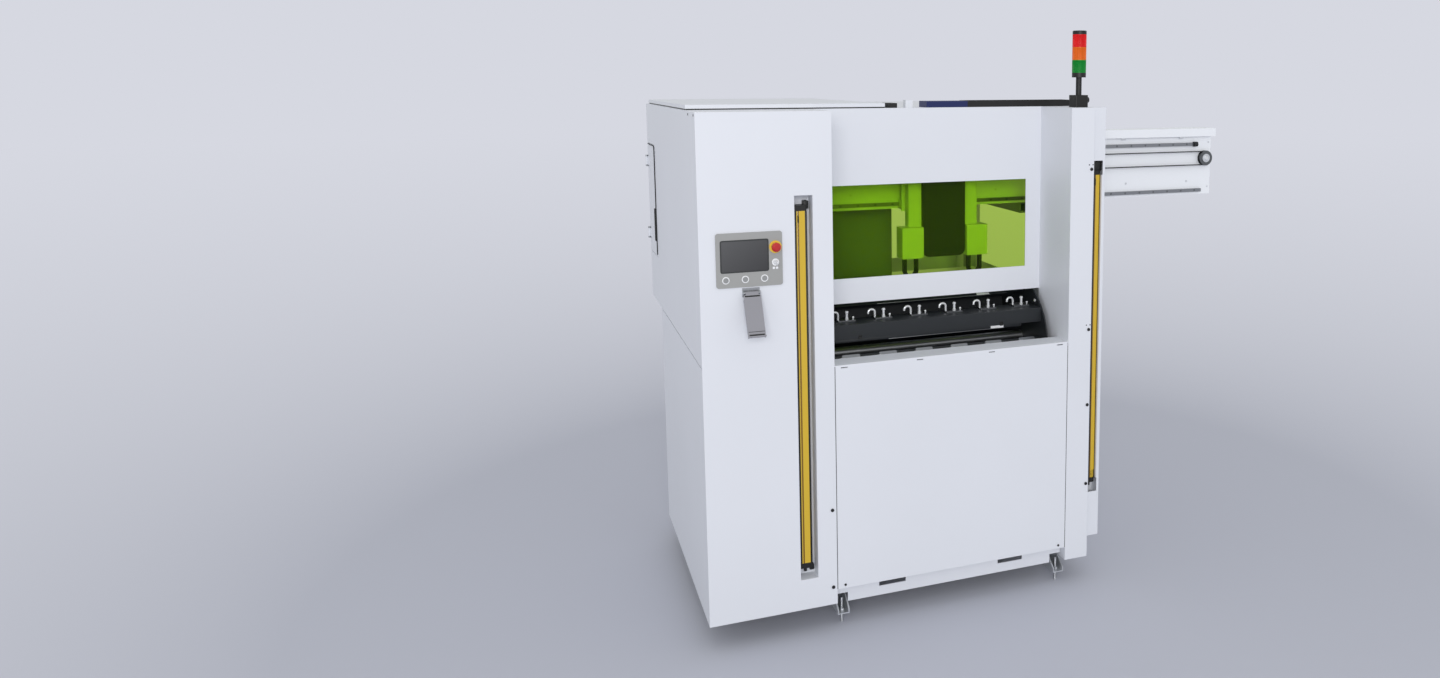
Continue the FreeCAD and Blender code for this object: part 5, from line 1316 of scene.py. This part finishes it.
idler_low, idler_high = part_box("idler_pulley")
idler_middle = middle_of(idler_low, idler_high)
hub_middle = (idler_middle.x, idler_low.y - HUB_TALL / 2, idler_middle.z)
hub = round_bar("idler_hub", hub_middle, HUB_RADIUS, HUB_TALL, "Y", HUB_SIDES)
push_in(hub, faces_front, HUB_RING, (0, HUB_TALL / 2, 0))
push_in(hub, dish_bottom, HUB_RING / 3, (0, -HUB_TALL / 3, 0))
soften(hub, HUB_EDGE)
mount(hub, aluminium_x, "idler_pulley")
hub_seat = at(hub_middle, HUB_SCREW_SIZE)
mount(spread(cap_screw(), "idler_screw", [hub_seat]), chrome, "idler_pulley")

# %% [markdown]
# ## Signal tower
# Each lens is a short drum of coloured plastic with a thicker lip above and below, where it screws to the
# next one, and fine upright flutes that spread the lamp's light. A bump could give the flutes, but it
# leaves the outline smooth. So the drum is cut level by level, and the faces of its middle band are inset
# one by one and drawn in.

# %% Lens drums
LENS_LIP = 0.004
LENS_FLUTE = 0.0004
LENS_DRAW = 0.0013
LENS_EDGE = 0.0003
LENS_SIDES = 72
UPRIGHT = 0.1  # an upright face looks up or down by less than this


def lens_drum(name, node):
    """A fluted lens in the place of a plain one."""
    low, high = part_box(node)
    middle = middle_of(low, high)

    def in_band(face):
        return abs(face.normal.z) < UPRIGHT and abs(face.calc_center_median().z - middle.z) < LENS_LIP

    drum = round_bar(name, middle, (high.x - low.x) / 2, high.z - low.z, "Z", LENS_SIDES)
    for height in (low.z + LENS_LIP, high.z - LENS_LIP):
        pick(drum, "FACE", lambda face: True)
        bpy.ops.mesh.bisect(plane_co=(0, 0, height), plane_no=(0, 0, 1))
        fresh()
    pick(drum, "FACE", in_band)
    bpy.ops.mesh.inset(thickness=LENS_FLUTE, use_individual=True, depth=-LENS_DRAW)
    fresh()
    soften(drum, LENS_EDGE)
    return drum


for node in ("lens_green", "lens_orange", "lens_red"):
    drum = lens_drum(f"{node}_drum", node)
    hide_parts(node)
    mount(drum, lens_finish[node], "cabinet")

# %% [markdown]
# ## Floor and backdrop
# The machine stands on a pale seamless ground. A curved backdrop would hide the machine from its other
# sides, so the floor is flat and very wide, and far out it turns into the even tone of the backdrop.

# %% Floor
BACKDROP = tone(214, 216, 225)
FLOOR_TONE = tone(190, 192, 203)
FLOOR_ROUGHNESS = 0.75
FLOOR_HALF = 60.0
FLOOR_NEAR = 2.6
FLOOR_FAR = 40.0


def studio_floor():
    """Lit ground near the machine, which fades into the backdrop with one over the distance."""
    finish = Finish("studio_floor")
    reach = finish.node("ShaderNodeVectorMath", {"operation": "LENGTH"}, {0: finish.place}, "Value")
    nearness = finish.node("ShaderNodeMath", {"operation": "DIVIDE"}, {0: FLOOR_NEAR, 1: reach})
    limits = {"From Min": FLOOR_NEAR / FLOOR_FAR, "From Max": 1.0, "To Min": 1.0, "To Max": 0.0}
    far = finish.node("ShaderNodeMapRange", None, {"Value": nearness, **limits})
    finish.shade(Base_Color=FLOOR_TONE, Roughness=FLOOR_ROUGHNESS)
    backdrop = finish.node("ShaderNodeEmission", None, {"Color": BACKDROP, "Strength": 1.0})
    return finish.give_way(far, backdrop)


fresh()
bpy.ops.mesh.primitive_plane_add(size=2 * FLOOR_HALF)
floor = bpy.context.object
floor.name = "studio_floor"
dress(floor, studio_floor())
print("floor:", floor.name, "is", 2 * FLOOR_HALF, "m wide")

# %% [markdown]
# ## Sky
# A pale sky fills the shadows evenly, as the walls of a white studio would. Its light and the tone that
# is seen behind the machine are set apart, so that one can change without the other: camera rays, and
# those that went through the window, meet a second background that has the tone of the backdrop.

# %% Sky
SKY_TONE = (0.96, 0.98, 1.0, 1.0)
SKY_STRENGTH = 0.72

world = bpy.data.worlds.new("studio_sky")
bpy.context.scene.world = world
world.use_nodes = True
sky = world.node_tree
sky.nodes.clear()
path = sky.nodes.new("ShaderNodeLightPath")
straight = sky.nodes.new("ShaderNodeMath")
straight.operation = "MAXIMUM"
lit = sky.nodes.new("ShaderNodeBackground")
lit.inputs["Color"].default_value = SKY_TONE
lit.inputs["Strength"].default_value = SKY_STRENGTH
seen = sky.nodes.new("ShaderNodeBackground")
seen.inputs["Color"].default_value = BACKDROP
either = sky.nodes.new("ShaderNodeMixShader")
dome = sky.nodes.new("ShaderNodeOutputWorld")
sky.links.new(path.outputs["Is Camera Ray"], straight.inputs[0])
sky.links.new(path.outputs["Is Transmission Ray"], straight.inputs[1])
sky.links.new(straight.outputs[0], either.inputs[0])
sky.links.new(lit.outputs[0], either.inputs[1])
sky.links.new(seen.outputs[0], either.inputs[2])
sky.links.new(either.outputs[0], dome.inputs["Surface"])
print("sky:", world.name, "at", SKY_STRENGTH)

# %% [markdown]
# ## Lamp
# One large soft lamp stands in front of the machine to the left, so that the front is the brightest side
# and the right flank falls off. Several small lamps would give several shadows, while a wide panel gives
# one soft one.

# %% Lamp
LAMP_PLACE = Vector((-3.3, -10.4, 4.3))
LAMP_AIM = Vector((-0.1, -0.2, 1.0))
LAMP_SIZE = (5.0, 3.6)
LAMP_POWER = 430.0

lamp_data = bpy.data.lights.new("key_lamp", "AREA")
lamp_data.shape = "RECTANGLE"
lamp_data.size, lamp_data.size_y = LAMP_SIZE
lamp_data.energy = LAMP_POWER
lamp = bpy.data.objects.new("key_lamp", lamp_data)
lamp.location = LAMP_PLACE
lamp.rotation_euler = (LAMP_AIM - LAMP_PLACE).to_track_quat("-Z", "Y").to_euler()
bpy.context.scene.collection.objects.link(lamp)
print("lamp:", lamp.name, "with a power of", LAMP_POWER)

# %% [markdown]
# ## Camera
# The camera stands in front of the machine to the left, a little above its roof. A camera that only tilts
# makes uprights lean, and one that only shifts its lens would lose the machine in other views, so some of
# each is used.

# %% Camera
CAMERA_PLACE = Vector((-1.646, -4.482, 2.220))
YAW = math.radians(21.9)
PITCH = math.radians(7.6)
LENS = 26.25
SHIFT = (-0.1522, -0.0832)

camera_data = bpy.data.cameras.new("camera")
camera_data.lens = LENS
camera_data.shift_x, camera_data.shift_y = SHIFT
camera = bpy.data.objects.new("camera", camera_data)
camera.location = CAMERA_PLACE
camera.rotation_euler = (math.pi / 2 - PITCH, 0.0, -YAW)
bpy.context.scene.collection.objects.link(camera)
bpy.context.scene.camera = camera
bpy.context.scene.view_settings.view_transform = "Standard"
print("camera at", tuple(round(part, 3) for part in CAMERA_PLACE))
